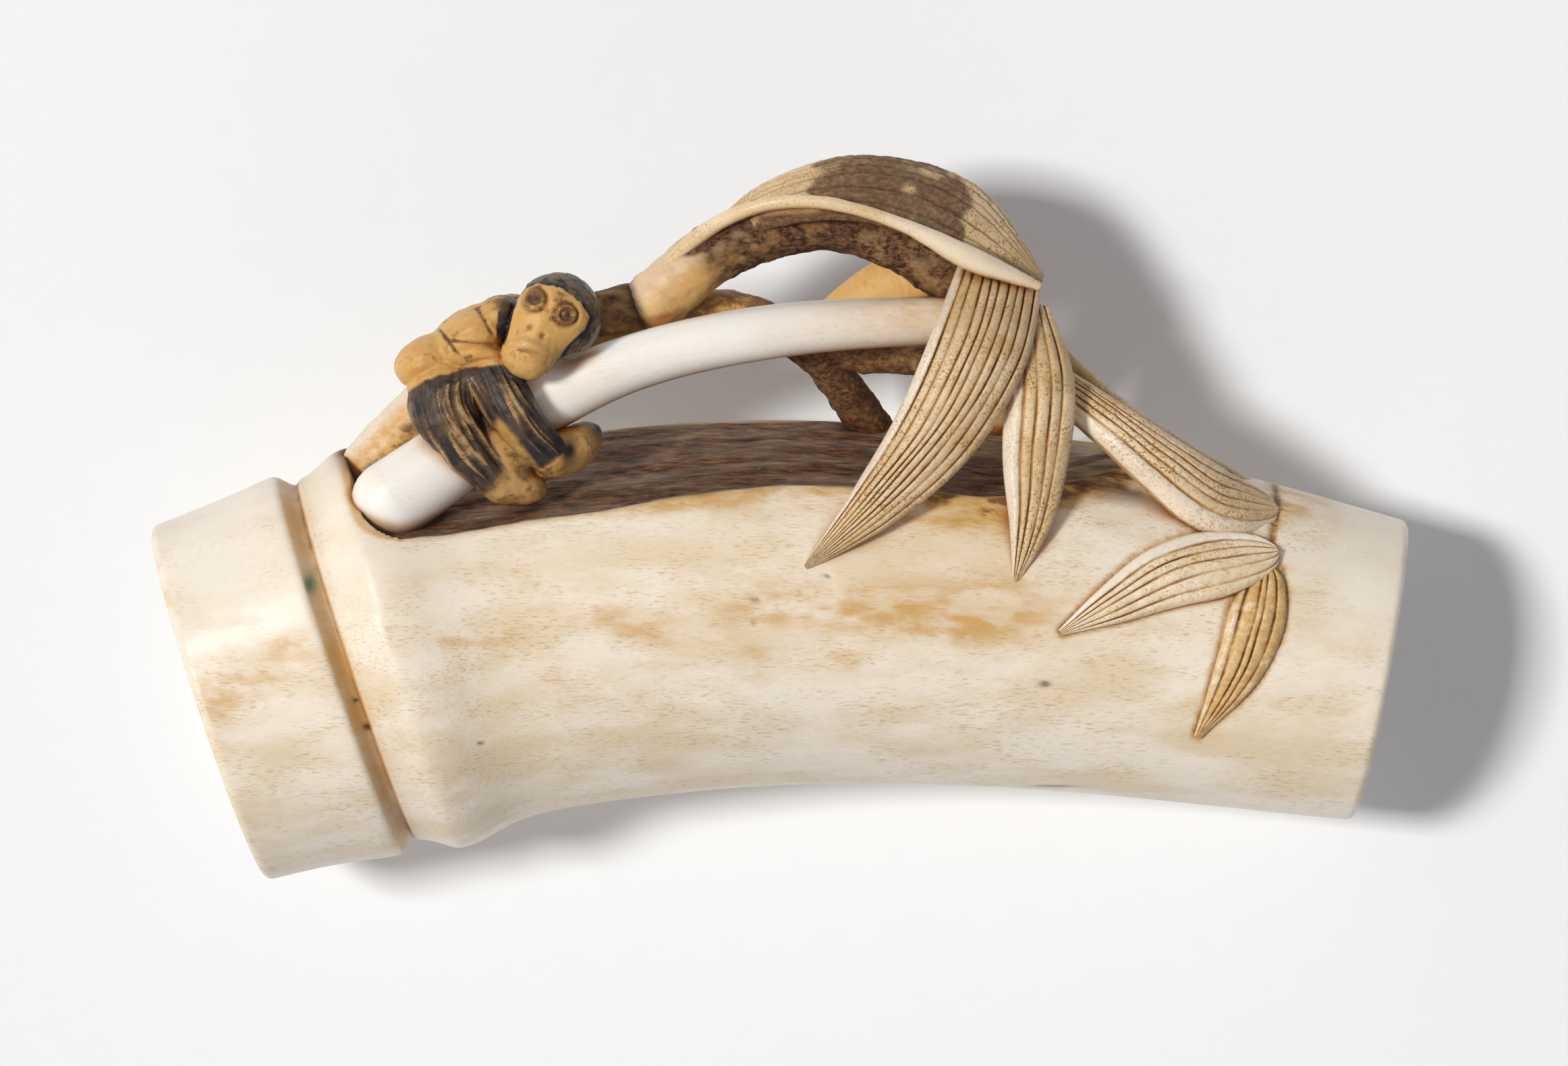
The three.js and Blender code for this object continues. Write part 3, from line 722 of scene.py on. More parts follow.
def leaf(
    name, points, widths, camber, ribs, finish, seed, face=None, proud=None, rows=110, thick=1.4, relief=0.17,
    margin=0.0, blunt=0.0, round_base=0.0, whiten=0.45, dark=1.0, marks=None,
):
    """A blade along a smooth line. Across it, its back rises to `camber` in the middle, and sharp grooves
    with rounded ribs between them run from base to tip. The rib on one edge is a smooth margin that takes up
    a share `margin` of the width. The underside is plain and follows the back. A blunt tip, or a round base,
    is rounded over that share of the length. `marks` changes the marks that the leaf holds."""
    if proud is not None:
        points, face = on_skin(points, camber, proud)
    t = np.linspace(0, 1, rows)
    middle, side, back = leaf_frame(points, face, t)
    t = t[:, None]
    lines, share = rib_places(t, ribs, margin, seed)
    v = 1 - 2 * share
    rib = np.round(lines)
    near = np.abs(lines - rib)
    inner = (rib > 0) & (rib < ribs)
    on_margin = (lines < 1) * (margin > 0)
    place = np.stack(np.broadcast_arrays(rib * 3.7, t * 6, 0 * t), -1)
    strength = 0.1 + 1.1 * grain(place, 1.0, seed)
    groove = hump(near, 0, 0.08) * inner * strength
    crown = 0.5 * (1 - (1 - 2 * near) ** 2)
    fuller = 1 + 0.7 * on_margin
    tip = 1 - 0.72 * ease(0.72, 1, t)
    rise = through(camber, t)
    edge = 0.5 * np.clip(np.abs(v) - 0.9, 0, 1) / 0.1
    upper = rise * (1 - v * v) + (relief * (crown * fuller - 0.8 * groove) - 0.55 * edge**2) * tip
    w = np.sin(np.linspace(-math.pi / 2, math.pi / 2, UNDERSIDE_LINES + 2))[None, 1:-1]
    hollow = thick * np.sqrt(1 - np.abs(w) ** 5)
    lower = rise * (1 - w * w) - hollow * tip
    across = np.concatenate([v, np.broadcast_to(w, lower.shape)], 1)
    height = np.concatenate([upper, lower], 1)
    half = through(widths, t) / 2
    if blunt:
        half = rounded(half, t - 1 + blunt, blunt)
    if round_base:
        half = rounded(half, round_base - t, round_base)
    rings = middle[:, None] + side[:, None] * (across * half)[..., None] + back[:, None] * height[..., None]
    pitted = 0.1 * (layered(rings, 0.9, seed) - 0.5) + 0.08 * (grain(rings, 0.26, seed + 1) - 0.5)
    rings = (rings + back[:, None] * (pitted * tip)[..., None])[:, ::-1]

    def above(values):
        """Values for the back of the leaf, and none for its underside."""
        return np.concatenate([values, np.zeros_like(lower)], 1)[:, ::-1]

    upper_side, grooves, smooth = above(np.ones_like(upper)), above(groove), above(on_margin + 0 * upper)
    broken = 0.25 + 1.1 * layered(rings, 0.8, seed + 5)
    clouds = 0.2 * upper_side * (1 - smooth) * (0.2 + layered(rings, 1.3, seed))
    held = {
        "stain": clouds + 0.6 * grooves * broken + 0.5 * (1 - upper_side),
        "line": dark * 0.75 * grooves * broken,
        "pale": whiten * smooth,
        "bare": 0.15 * (1 - upper_side),
    }
    if marks:
        held.update(marks(rings, t + 0 * grooves, upper_side, held))
    put_in_rings(name, rings, held, finish)


def roof_marks(p, t, upper, held):
    """A bare brown patch on the crown of the roof leaf, where the polish stops, and bare below its edge."""
    x, y = p[..., 0], p[..., 1]
    x = x + 4 * (layered(p, 2.2, 53) - 0.5)
    patch = ease(0.6, 3.0, x) * (1 - ease(9.4, 11.6, x)) * upper
    patch = 0.85 * ease(0.3, 0.65, patch * (0.2 + 1.1 * layered(p, 1.2, 51)))
    edge = np.array(ROOF_LEAF_EDGE[0])
    below_edge = ease(0.35, 0.7, np.interp(x, edge[:, 0], edge[:, 1]) - y) * ease(-4, -2, x)
    below_edge = 0.9 * np.maximum(1 - upper, below_edge) * ease(0.02, 0.08, t)
    return {"bare": np.maximum(np.maximum(held["bare"], patch), below_edge)}


def joint_marks(p, t, upper, held):
    """Grooves are darkest where the leaf leaves the joint."""
    return {"line": held["line"] * (0.75 + 1.1 * (1 - ease(0.03, 0.4, t)))}


def darker_back_marks(p, t, upper, held):
    """A darker back."""
    return {"stain": held["stain"] + 0.3 * upper}


def gold_marks(p, t, upper, held):
    """Amber all over."""
    return {"warm": 0.85 + 0 * t, "stain": held["stain"] + 0.25}


def leaves():
    """The leaf over the arch, three that hang before the culm, two on its skin and three behind."""
    roof = dict(ribs=13, rows=150, thick=1.6, dark=1.3, finish=ribbed, marks=roof_marks)
    leaf("roof_leaf", seed=2, **ROOF_LEAF, **roof)
    hanging = dict(finish=ribbed, marks=joint_marks)
    leaf("hanging_leaf", seed=3, ribs=10, rows=170, margin=0.12, **HANGING_LEAF, **hanging)
    leaf("narrow_leaf", seed=4, ribs=5, rows=130, margin=0.22, **NARROW_LEAF, **hanging)
    long = dict(ribs=6, rows=150, thick=1.8, margin=0.24, blunt=0.2, whiten=0.4)
    leaf("long_leaf", seed=5, **LONG_LEAF, **long, **hanging)
    on_culm = dict(thick=1.6, relief=0.16, margin=0.22, round_base=0.12, dark=0.6, finish=leaf_skin)
    leaf("low_leaf", seed=6, ribs=6, whiten=0.7, **LOW_LEAF, **on_culm)
    leaf("side_leaf", seed=7, ribs=5, whiten=0.4, **SIDE_LEAF, **on_culm, marks=darker_back_marks)
    leaf("back_hanging_leaf", seed=8, ribs=6, **BACK_HANGING_LEAF, finish=ribbed)
    leaf("back_long_leaf", seed=9, ribs=5, thick=1.7, **BACK_LONG_LEAF, finish=ribbed)
    leaf("small_leaf", seed=10, ribs=1, relief=0.06, **SMALL_LEAF, finish=weathered, marks=gold_marks)


# ---- the monkey ----
FACE_MIDDLE = np.array([-14.45, 11.35])
FACE_TURN = math.radians(66)  # the way from chin to crown, from +X
CROWN = np.array([math.cos(FACE_TURN), math.sin(FACE_TURN)])
CHEEK = np.array([CROWN[1], -CROWN[0]])
FACE_UP = (-3.3, -2.8, -1.9, -0.3, 1.0, 1.9, 2.4, 2.7)  # heights up the face, and at each of them ...
FACE_HALF = (0.2, 1.0, 1.55, 1.9, 2.3, 2.15, 1.4, 0.1)  # ... its half width
FACE_SKEW = (0.2, 0.0, -0.2, -0.15, 0.0, 0.1, -0.05, -0.2)  # ... and how far its middle lies to one side
EYES = ((-14.95, 13.17), (-13.09, 12.25))
EYE_RADIUS = 0.72

NEAR_LEG = (
    ((-20.5, 8.1, 8.1), (-20.35, 6.5, 9.0), (-19.3, 4.7, 9.3), (-18.3, 3.3, 8.9), (-17.1, 2.1, 8.3)),
    (2.2, 2.1, 1.55, 1.3, 1.1),
)
NEAR_ARM = (
    ((-17.4, 8.6, 8.9), (-16.55, 7.0, 9.9), (-15.4, 5.3, 9.9), (-14.2, 4.0, 9.0)),
    (1.8, 1.6, 1.42, 1.2),
)
HAND = (((-14.0, 3.8, 8.0), (-12.9, 4.3, 7.0), (-12.0, 5.0, 5.9)), (1.3, 1.35, 1.0))
FAR_LEG = (((-19.0, 10.6, 6.5), (-18.0, 8.6, 3.4), (-16.2, 6.4, 3.0)), (1.7, 1.5, 1.1))
FAR_ARM = (((-16.5, 12.2, 7.0), (-14.5, 11.4, 4.4), (-12.6, 10.4, 2.2)), (1.4, 1.3, 1.1))
LAP = ((-18.7, 8.3, 8.4), (2.9, 1.25, 1.9), math.radians(8))
FOOT = ((-16.2, 2.25, 7.9), (1.9, 1.3, 1.4), math.radians(-18))
WAIST_X = (-23.5, -22.6, -21.0, -19.0, -17.0, -15.6, -14.5)  # along the waist, and how high the hair starts
WAIST_Y = (7.4, 7.8, 8.6, 9.15, 9.35, 8.5, 7.4)
MONKEY_BOX = (-24.3, 0.1, -0.4), (-10.2, 15.6, 13.4)
MONKEY_LATTICE = 0.1
MONKEY_SEAT = np.array([0.22, -0.2, 0])  # the last small move that sets it on the stem


def egg(p, middle, radii, turn=0.0):
    """Signed distance, nearly, to an ellipsoid turned about Z."""
    q = p - np.asarray(middle, p.dtype)
    c, s = math.cos(turn), math.sin(turn)
    x, y, z = q[..., 0] * c + q[..., 1] * s, q[..., 1] * c - q[..., 0] * s, q[..., 2]
    a, b, h = radii
    far = np.sqrt((x / a) ** 2 + (y / b) ** 2 + (z / h) ** 2)
    steep = np.sqrt((x / a**2) ** 2 + (y / b**2) ** 2 + (z / h**2) ** 2)
    return far * (far - 1) / np.maximum(steep, 1e-6)


def limb_place(p, limb, pieces=14):
    """For each point: the distance to a tapering limb, how far along it, and how far to one side of it."""
    points, radii = limb
    t = np.linspace(0, 1, pieces)
    line, thick = through(points, t).astype(p.dtype), through(radii, t)
    best = np.full(p.shape[:-1], FAR_AWAY, p.dtype)
    where, beside = np.zeros_like(best), np.zeros_like(best)
    for k in range(pieces - 1):
        step = line[k + 1] - line[k]
        q = p - line[k]
        f = np.clip((q @ step) / (step @ step), 0, 1)
        q = q - f[..., None] * step
        away = np.sqrt((q**2).sum(-1)) - (thick[k] + f * (thick[k + 1] - thick[k]))
        aside = (q[..., 0] * step[1] - q[..., 1] * step[0]) / math.hypot(step[0], step[1])
        nearer = away < best
        best = np.where(nearer, away, best)
        where = np.where(nearer, (k + f) / (pieces - 1), where)
        beside = np.where(nearer, aside, beside)
    return best, where, beside


def melt(a, b, soft):
    """Smooth union of two distances."""
    h = np.clip(0.5 + 0.5 * (b - a) / soft, 0, 1)
    return b + (a - b) * h - soft * h * (1 - h)


def on_face(p):
    """A point's place on the face: across towards the right cheek, and up towards the crown."""
    q = p[..., :2] - FACE_MIDDLE
    return q @ CHEEK, q @ CROWN


def monkey_form(p):
    """Distance to the monkey: eggs and tapering limbs melted together."""
    head = egg(p, (-13.65, 12.2, 9.3), (2.66, 2.62, 2.6))
    head = melt(head, egg(p, (-14.62, 11.4, 10.3), (2.75, 2.0, 1.75), FACE_TURN), 0.3)
    head = melt(head, egg(p, (-15.35, 9.95, 10.6), (1.7, 1.62, 1.7), FACE_TURN), 0.35)
    trunk = egg(p, (-18.7, 10.75, 7.6), (3.1, 2.05, 2.95), math.radians(30))
    trunk = melt(trunk, egg(p, (-21.5, 9.55, 7.9), (2.05, 1.5, 2.2), math.radians(28)), 0.25)
    trunk = melt(trunk, egg(p, (-17.2, 12.1, 8.3), (1.5, 1.35, 1.8), math.radians(30)), 0.2)
    trunk = melt(trunk, egg(p, (-18.2, 9.95, 8.9), (2.3, 0.7, 1.7), math.radians(-2)), 0.12)
    legs = limb_place(p, NEAR_LEG)[0]
    legs = melt(legs, limb_place(p, NEAR_ARM)[0], 0.22)
    legs = melt(legs, egg(p, *LAP), 0.4)
    legs = melt(legs, egg(p, *FOOT), 0.4)
    legs = melt(legs, egg(p, (-16.9, 4.7, 8.35), (1.5, 2.9, 1.6), math.radians(22)), 0.3)
    legs = melt(legs, limb_place(p, HAND)[0], 0.2)
    behind = melt(limb_place(p, FAR_LEG)[0], limb_place(p, FAR_ARM)[0], 0.3)
    whole = melt(melt(trunk, behind, 0.4), legs, 0.1)
    return melt(whole, head, 0.08)


def wrap(field, low, high, step):
    """The surface where the field changes sign: one point in each lattice cell that it crosses, at the mean
    of the crossings on that cell's edges, and one quad round each lattice edge that it crosses."""
    steps = [np.arange(a, b + step, step, dtype=np.float32) for a, b in zip(low, high)]
    shape = np.array([len(s) for s in steps])
    values = np.empty(shape, np.float32)
    for i, x in enumerate(steps[0]):
        y, z = np.meshgrid(steps[1], steps[2], indexing="ij")
        values[i] = field(np.stack([np.full_like(y, x), y, z], -1))
    inside = values < 0
    total, count = np.zeros((*(shape - 1), 3), np.float32), np.zeros(shape - 1, np.float32)
    crossings = []
    for axis in range(3):
        first = tuple(slice(None, -1) if k == axis else slice(None) for k in range(3))
        second = tuple(slice(1, None) if k == axis else slice(None) for k in range(3))
        cross = inside[first] != inside[second]
        share = np.where(cross, values[first] / np.where(cross, values[first] - values[second], 1), 0)
        crossings.append((cross, inside[first]))
        others = [k for k in range(3) if k != axis]
        for du in (0, 1):
            for dv in (0, 1):
                part = [slice(None)] * 3
                for other, d in zip(others, (du, dv)):
                    part[other] = slice(d, d + shape[other] - 1)
                part = tuple(part)
                count += cross[part]
                total[..., axis] += share[part]
                total[..., others[0]] += cross[part] * du
                total[..., others[1]] += cross[part] * dv
    used = count > 0
    number = np.full(used.shape, -1)
    number[used] = np.arange(used.sum())
    cells = np.argwhere(used)
    points = (cells + total[used] / count[used][:, None]) * step + np.array([s[0] for s in steps])
    quads = []
    for axis, (cross, outward) in enumerate(crossings):
        u, v = (axis + 1) % 3, (axis + 2) % 3
        place = np.argwhere(cross)
        place = place[(place[:, [u, v]] > 0).all(1) & (place[:, [u, v]] < shape[[u, v]] - 1).all(1)]
        corners = []
        for du, dv in ((-1, -1), (0, -1), (0, 0), (-1, 0)):
            cell = place.copy()
            cell[:, u] += du
            cell[:, v] += dv
            corners.append(number[tuple(cell.T)])
        quad = np.stack(corners, -1)
        flip = ~outward[tuple(place.T)]
        quad[flip] = quad[flip][:, ::-1]
        quads.append(quad)
    return points.astype(float), np.concatenate(quads)


def slope_of(field, p):
    """The direction in which the field grows fastest."""
    shift = np.eye(3) * 0.05
    return unit(np.stack([field(p + s) - field(p - s) for s in shift], -1))


def head_areas(p):
    """Where the points are on the head, on its face and on its dark hood, with the dark line between."""
    z = p[:, 2]
    across, upward = on_face(p)
    front = ease(8.6, 9.4, z)
    head = (egg(p, (-13.9, 11.9, 9.7), (3.4, 3.05, 3.5), FACE_TURN) < 0.25) & (z > 5.5)
    rim = (across - np.interp(upward, FACE_UP, FACE_SKEW)) / np.interp(upward, FACE_UP, FACE_HALF)
    visage = head * (1 - ease(0.96, 1.04, np.abs(rim))) * front * (upward < 2.7)
    hood = head * (1 - visage) * np.where(across < 0, ease(-1.9, -1.2, upward), ease(-2.6, -2.0, upward))
    hairline = hump(np.abs(rim), 1.03, 0.045) * head * front * ease(-2.2, -1.6, upward)
    return head, visage, front, hood, hairline


def hair(p, visage):
    """The hairy legs and lap: how hairy each point is, the fine strands, the lighter strands, the bare panel
    between the legs, and where the waist has been passed. Strands run down the limbs, so they are told apart
    by the place to one side of the nearer limb."""
    x, y, z = p.T
    leg_far, leg_along, leg_beside = limb_place(p, NEAR_LEG, 60)
    arm_far, arm_along, arm_beside = limb_place(p, NEAR_ARM, 60)
    waist = y - np.interp(x, WAIST_X, WAIST_Y)
    trousers = 1 - ease(-0.1, 0.12, waist + 0.25 * (grain(p, 0.5, 2) - 0.5))
    ankle = leg_along + 0.12 * (grain(p, 0.5, 3) - 0.5)
    on_leg = (1 - ease(0.15, 0.5, leg_far)) * (1 - ease(0.78, 0.97, ankle))
    on_arm = (1 - ease(0.15, 0.5, arm_far)) * (1 - ease(0.9, 1.0, arm_along))
    on_lap = 1 - ease(0.1, 0.4, egg(p, *LAP))
    furry = np.maximum(np.maximum(on_leg, on_arm), on_lap) * trousers * (1 - visage)
    below_hood = (y < 9.4) | (x < -16.9)
    furry = furry * below_hood * ease(4.5, 6.5, z)
    down, aside = (x + 16.55) * 0.6 - (y - 4.4) * 0.8, (x + 16.55) * 0.8 + (y - 4.4) * 0.6
    panel = (1 - ease(0.45, 0.85, np.abs(aside))) * (1 - ease(1.5, 2.2, np.abs(down - 0.3)))
    furry = furry * (1 - panel)

    leg_nearer = leg_far < arm_far
    beside = np.where(leg_nearer, leg_beside, arm_beside + 3)
    run = np.where(leg_nearer, leg_along * 7.5, arm_along * 6)
    strand_place = np.stack([beside, run, 0 * run], -1)
    streak = layered(strand_place, (0.3, 3.2, 1), 8, 3)
    fine = grain(strand_place, (0.15, 1.6, 1), 11)
    middle_leg = leg_nearer * hump(leg_beside, 0.1, 0.95) * hump(leg_along, 0.42, 0.3)
    middle_arm = (~leg_nearer) * hump(arm_beside, -0.15, 0.7) * hump(arm_along, 0.4, 0.4)
    lighter = 0.24 * np.maximum(middle_leg, 0.8 * middle_arm)
    light_hair = ease(0.48, 0.64, streak + lighter - 0.06) * (0.15 + 0.85 * ease(0.38, 0.62, fine))
    light_hair = light_hair * (waist < -0.9 + 0.5 * grain(p, (0.4, 2, 2), 5))
    return furry, fine, light_hair, panel, trousers


def folds_of_back(p):
    """Three creases cut in the skin of the back and the shoulder."""
    x, y, _ = p.T
    nape = hump((x + 17.95) * 0.85 + (y - 11.9) * 0.53, 0, 0.1)
    back = hump(y - 10.62 + 0.1 * (x + 19), 0, 0.09)
    flank = hump((x + 20.1) * 0.8 + (y - 10.6) * 0.6, 0, 0.1)
    return (
        nape * ease(10.9, 11.2, y) * (1 - ease(12.5, 12.9, y))
        + back * ease(-20.4, -19.8, x) * (1 - ease(-17.6, -17.2, x))
        + flank * ease(9.6, 10, y) * (1 - ease(11.3, 11.7, y))
    )


def monkey():
    """The melted form, then hair lines, folds, lips and nostrils pressed into it along its normals."""
    p, quads = wrap(monkey_form, *MONKEY_BOX, MONKEY_LATTICE)
    out = slope_of(monkey_form, p)
    x, y, z = p.T
    head, visage, front, hood, hairline = head_areas(p)
    furry, fine, light_hair, panel, trousers = hair(p, visage)
    skin = (1 - furry) * (1 - hood)

    # mouth, nose, brow and eyes
    across, upward = on_face(p)
    lip_line = upward + 1.6 - 0.33 * (across + 0.5) + 0.12 * (across + 0.5) ** 2
    lips = hump(across, -0.5, 0.85)
    slit = hump(lip_line, 0, 0.11) * hump(across, -0.5, 0.95)
    upper_lip = hump(lip_line, 0.4, 0.25) * lips
    lower_lip = hump(lip_line, -0.42, 0.24) * hump(across, -0.65, 0.7)
    nose = hump(across + 0.3, 0, 0.42) * ease(-0.9, -0.3, upward) * (1 - ease(0.2, 1.6, upward))
    brow = hump(upward, 2.25, 0.3) * (1 - ease(1.4, 1.9, np.abs(across + 0.15)))
    nostrils = hump(np.hypot(across + 0.82, upward + 0.22), 0, 0.16) * 0.8
    nostrils = nostrils + hump(np.hypot(across - 0.12, upward + 0.36), 0, 0.17)
    eye_far = np.min([np.hypot(x - ex, y - ey) for ex, ey in EYES], axis=0)
    eyes = 0.12 * hump(eye_far, 0.5, 0.12) - 0.16 * hump(eye_far, EYE_RADIUS, 0.11)
    eyes = (eyes - 0.12 * hump(eye_far, 0.27, 0.09)) * visage
    features = 0.17 * upper_lip + 0.14 * lower_lip + 0.12 * nose + 0.1 * brow - 0.2 * slit - 0.2 * nostrils
    features = features * visage

    # creases, wrinkles and tool marks, all pressed in together
    folds = folds_of_back(p) * (z > 7) * (1 - head) * (1 - trousers)
    wrinkles = grain(np.stack([x + 0.5 * y, y - 0.3 * x, z], -1), (1.6, 0.3, 0.6), 31) - 0.5
    facets = layered(p, 1.5, 5) - 0.5
    stipple = grain(p, 0.26, 12)
    push = features + eyes - 0.1 * hairline - 0.14 * folds + 0.06 * wrinkles * skin * (1 - visage)
    push = push - 0.1 * (1 - ease(0.3, 0.62, fine)) * furry + 0.08 * light_hair * furry
    push = push - 0.04 * hood * ease(0.4, 0.7, stipple) + 0.2 * facets
    push = push + 0.08 * (layered(p, 0.5, 15) - 0.5) * skin
    p = p + out * push[:, None]

    # marks; x, y and z are still those of the form before the pressing
    looks = visage * front
    eye_ring = hump(eye_far, EYE_RADIUS, 0.12) * looks * (0.4 + 0.9 * layered(p, 0.5, 35))
    inner_ring = hump(eye_far, 0.34, 0.1) * looks
    iris = (1 - ease(0.62, 0.78, eye_far)) * looks
    pupil = (1 - ease(0.1, 0.26, eye_far)) * looks
    paw = hump(np.hypot(x + 11.25, y - 5.7), 0, 0.75)
    paw = paw + 1.2 * hump(np.hypot(x + 13.1, y - 4.2), 0, 0.5) * (z > 7.5)
    shoulder = hump(np.hypot(x + 17.2, y - 13.0), 0, 0.9) * (z > 6) * (1 - visage)
    foot = (1 - ease(2.6, 4.4, y)) * (1 - furry) * (x < -14)
    wet = ease(0.5, 0.75, layered(p, 1.2, 25))
    dapple = ease(0.45, 0.7, layered(p, 0.6, 27))
    mottled = ease(0.35, 0.65, layered(p, 0.55, 29))
    brown = ease(0.45, 0.7, layered(p, 0.7, 33)) * skin
    black = furry * (1 - 0.6 * light_hair) * (0.9 + 0.1 * wet) + hood * (0.8 + 0.18 * mottled)
    stain = 0.1 + 0.25 * dapple + 0.4 * brown + 0.4 * eye_ring + 0.75 * iris + 0.5 * folds
    stain = stain + 0.35 * slit * visage + 0.5 * furry * (1 - 0.4 * light_hair)
    line = 0.6 * folds + 0.4 * eye_ring + 0.8 * nostrils * visage + 0.4 * slit * visage
    warm = 0.25 + 0.4 * wet + 0.3 * dapple + 0.4 * panel + 0.3 * foot + 0.5 * shoulder
    marks = {
        "black": black + paw + 0.8 * pupil + 0.3 * hairline + 0.25 * inner_ring,
        "stain": stain + 0.2 * panel + 0.15 * foot + 0.4 * shoulder,
        "bare": 0.4 * foot + 0.35 * panel + 0.2 * shoulder,
        "line": line + 0.7 * hairline + 0.45 * inner_ring,
        "warm": warm * skin * (1 - 0.2 * visage),
        # pale: the lighter strands of hair, and a painted highlight on the lips
        "pale": 0.5 * light_hair * furry + 0.3 * (upper_lip + lower_lip) * visage,
    }
    put_in("monkey", p + MONKEY_SEAT, quads, np.empty((0, 3), int), marks, painted)


# ---- finishes ----
def shade(red, green, blue):
    """A colour as it is picked on a screen, 0 to 255, in the linear values that shaders take."""
    screen = np.array([red, green, blue]) / 255
    return (*np.where(screen < 0.04045, screen / 12.92, ((screen + 0.055) / 1.055) ** 2.4), 1)


# the colour of whiter polish and lighter strands, also used for painted sheen and painted highlights
PALE_AND_SHEEN = shade(240, 230, 214)
HONEY = shade(204, 160, 92)
AMBER = shade(199, 144, 60)
BROWN = shade(124, 82, 44)
BARK = shade(122, 84, 54)
DARK_BARK = shade(54, 33, 20)
FIBRE = shade(168, 126, 84)
# a near black for dark lines, and for the painted shade in the deepest corners
SOOT_AND_SHADE = shade(38, 26, 20)
INK = shade(34, 33, 37)
GREEN = shade(58, 112, 78)


class Mix:
    """Builds a material's nodes by calls, each of which gives back its output socket."""

    def __init__(self, name):
        self.finish = bpy.data.materials.new(name)
        self.finish.use_nodes = True
        self.tree = self.finish.node_tree
        self.tree.nodes.clear()
        self.place = self.add("TexCoord", "Object")

    def add(self, kind, output, inputs=(), **settings):
        node = self.tree.nodes.new("ShaderNode" + kind)
        for name, value in settings.items():
            setattr(node, name, value)
        for key, value in dict(inputs).items():
            if isinstance(value, bpy.types.NodeSocket):
                self.tree.links.new(value, node.inputs[key])
            else:
                node.inputs[key].default_value = value
        return node.outputs[output]

    def mark(self, name):
        """The values that the piece holds under a name, point by point."""
        return self.add("Attribute", "Fac", attribute_name=name)

    def per_mm(self, *rates):
        """Object coordinates that count this many steps per millimetre along each axis."""
        return self.add("Mapping", "Vector", {"Vector": self.place, "Scale": tuple(1000 * r for r in rates)})

    def noise(self, where, detail=3.0, rough=0.55):
        inputs = {"Vector": where, "Scale": 1.0, "Detail": detail, "Roughness": rough}
        return self.add("TexNoise", "Fac", inputs)

    def step(self, value, low, high, to_low=0.0, to_high=1.0):
        """to_low below low, to_high above high, and smooth between them."""
        inputs = {"Value": value, "From Min": low, "From Max": high, "To Min": to_low, "To Max": to_high}
        return self.add("MapRange", "Result", inputs, interpolation_type="SMOOTHSTEP", clamp=True)

    def sum(self, a, b, how="ADD", clamp=True):
        return self.add("Math", "Value", {0: a, 1: b}, operation=how, use_clamp=clamp)

    def times(self, a, b):
        return self.sum(a, b, "MULTIPLY")

    def blend(self, share, a, b, how="MIX"):
        """Colour a with this share of colour b."""
        inputs = {0: share, 6: a, 7: b}
        return self.add("Mix", 2, inputs, data_type="RGBA", blend_type=how, clamp_factor=True)

    def open_sky(self, reach):
        """1 in the open, and less the deeper a point lies in a corner between forms."""
        return self.add("AmbientOcclusion", "AO", {"Distance": reach}, samples=6)

    def bump(self, height, depth):
        return self.add("Bump", "Normal", {"Height": height, "Strength": 0.6, "Distance": depth})

    def surface(self, color, roughness, normal, through_light):
        inputs = {
            "Base Color": color,
            "Roughness": roughness,
            "Normal": normal,
            "IOR": 1.54,
            "Subsurface Weight": through_light,
            "Subsurface Radius": (1.0, 0.55, 0.3),
            "Subsurface Scale": 0.0008,
        }
        shader = self.add("BsdfPrincipled", "BSDF", inputs)
        out = self.tree.nodes.new("ShaderNodeOutputMaterial")
        self.tree.links.new(shader, out.inputs["Surface"])
        return self.finish


FLECK_GRAINY, FLECK_DASHED = (6.5, 6.5, 6.5), (1.6, 9, 9)  # how close the grain is along x, y and z, per mm
FIBRE_SPECKLED, FIBRE_ALONG = (2.6, 3.8, 3.8), (0.7, 4.0, 4.0)


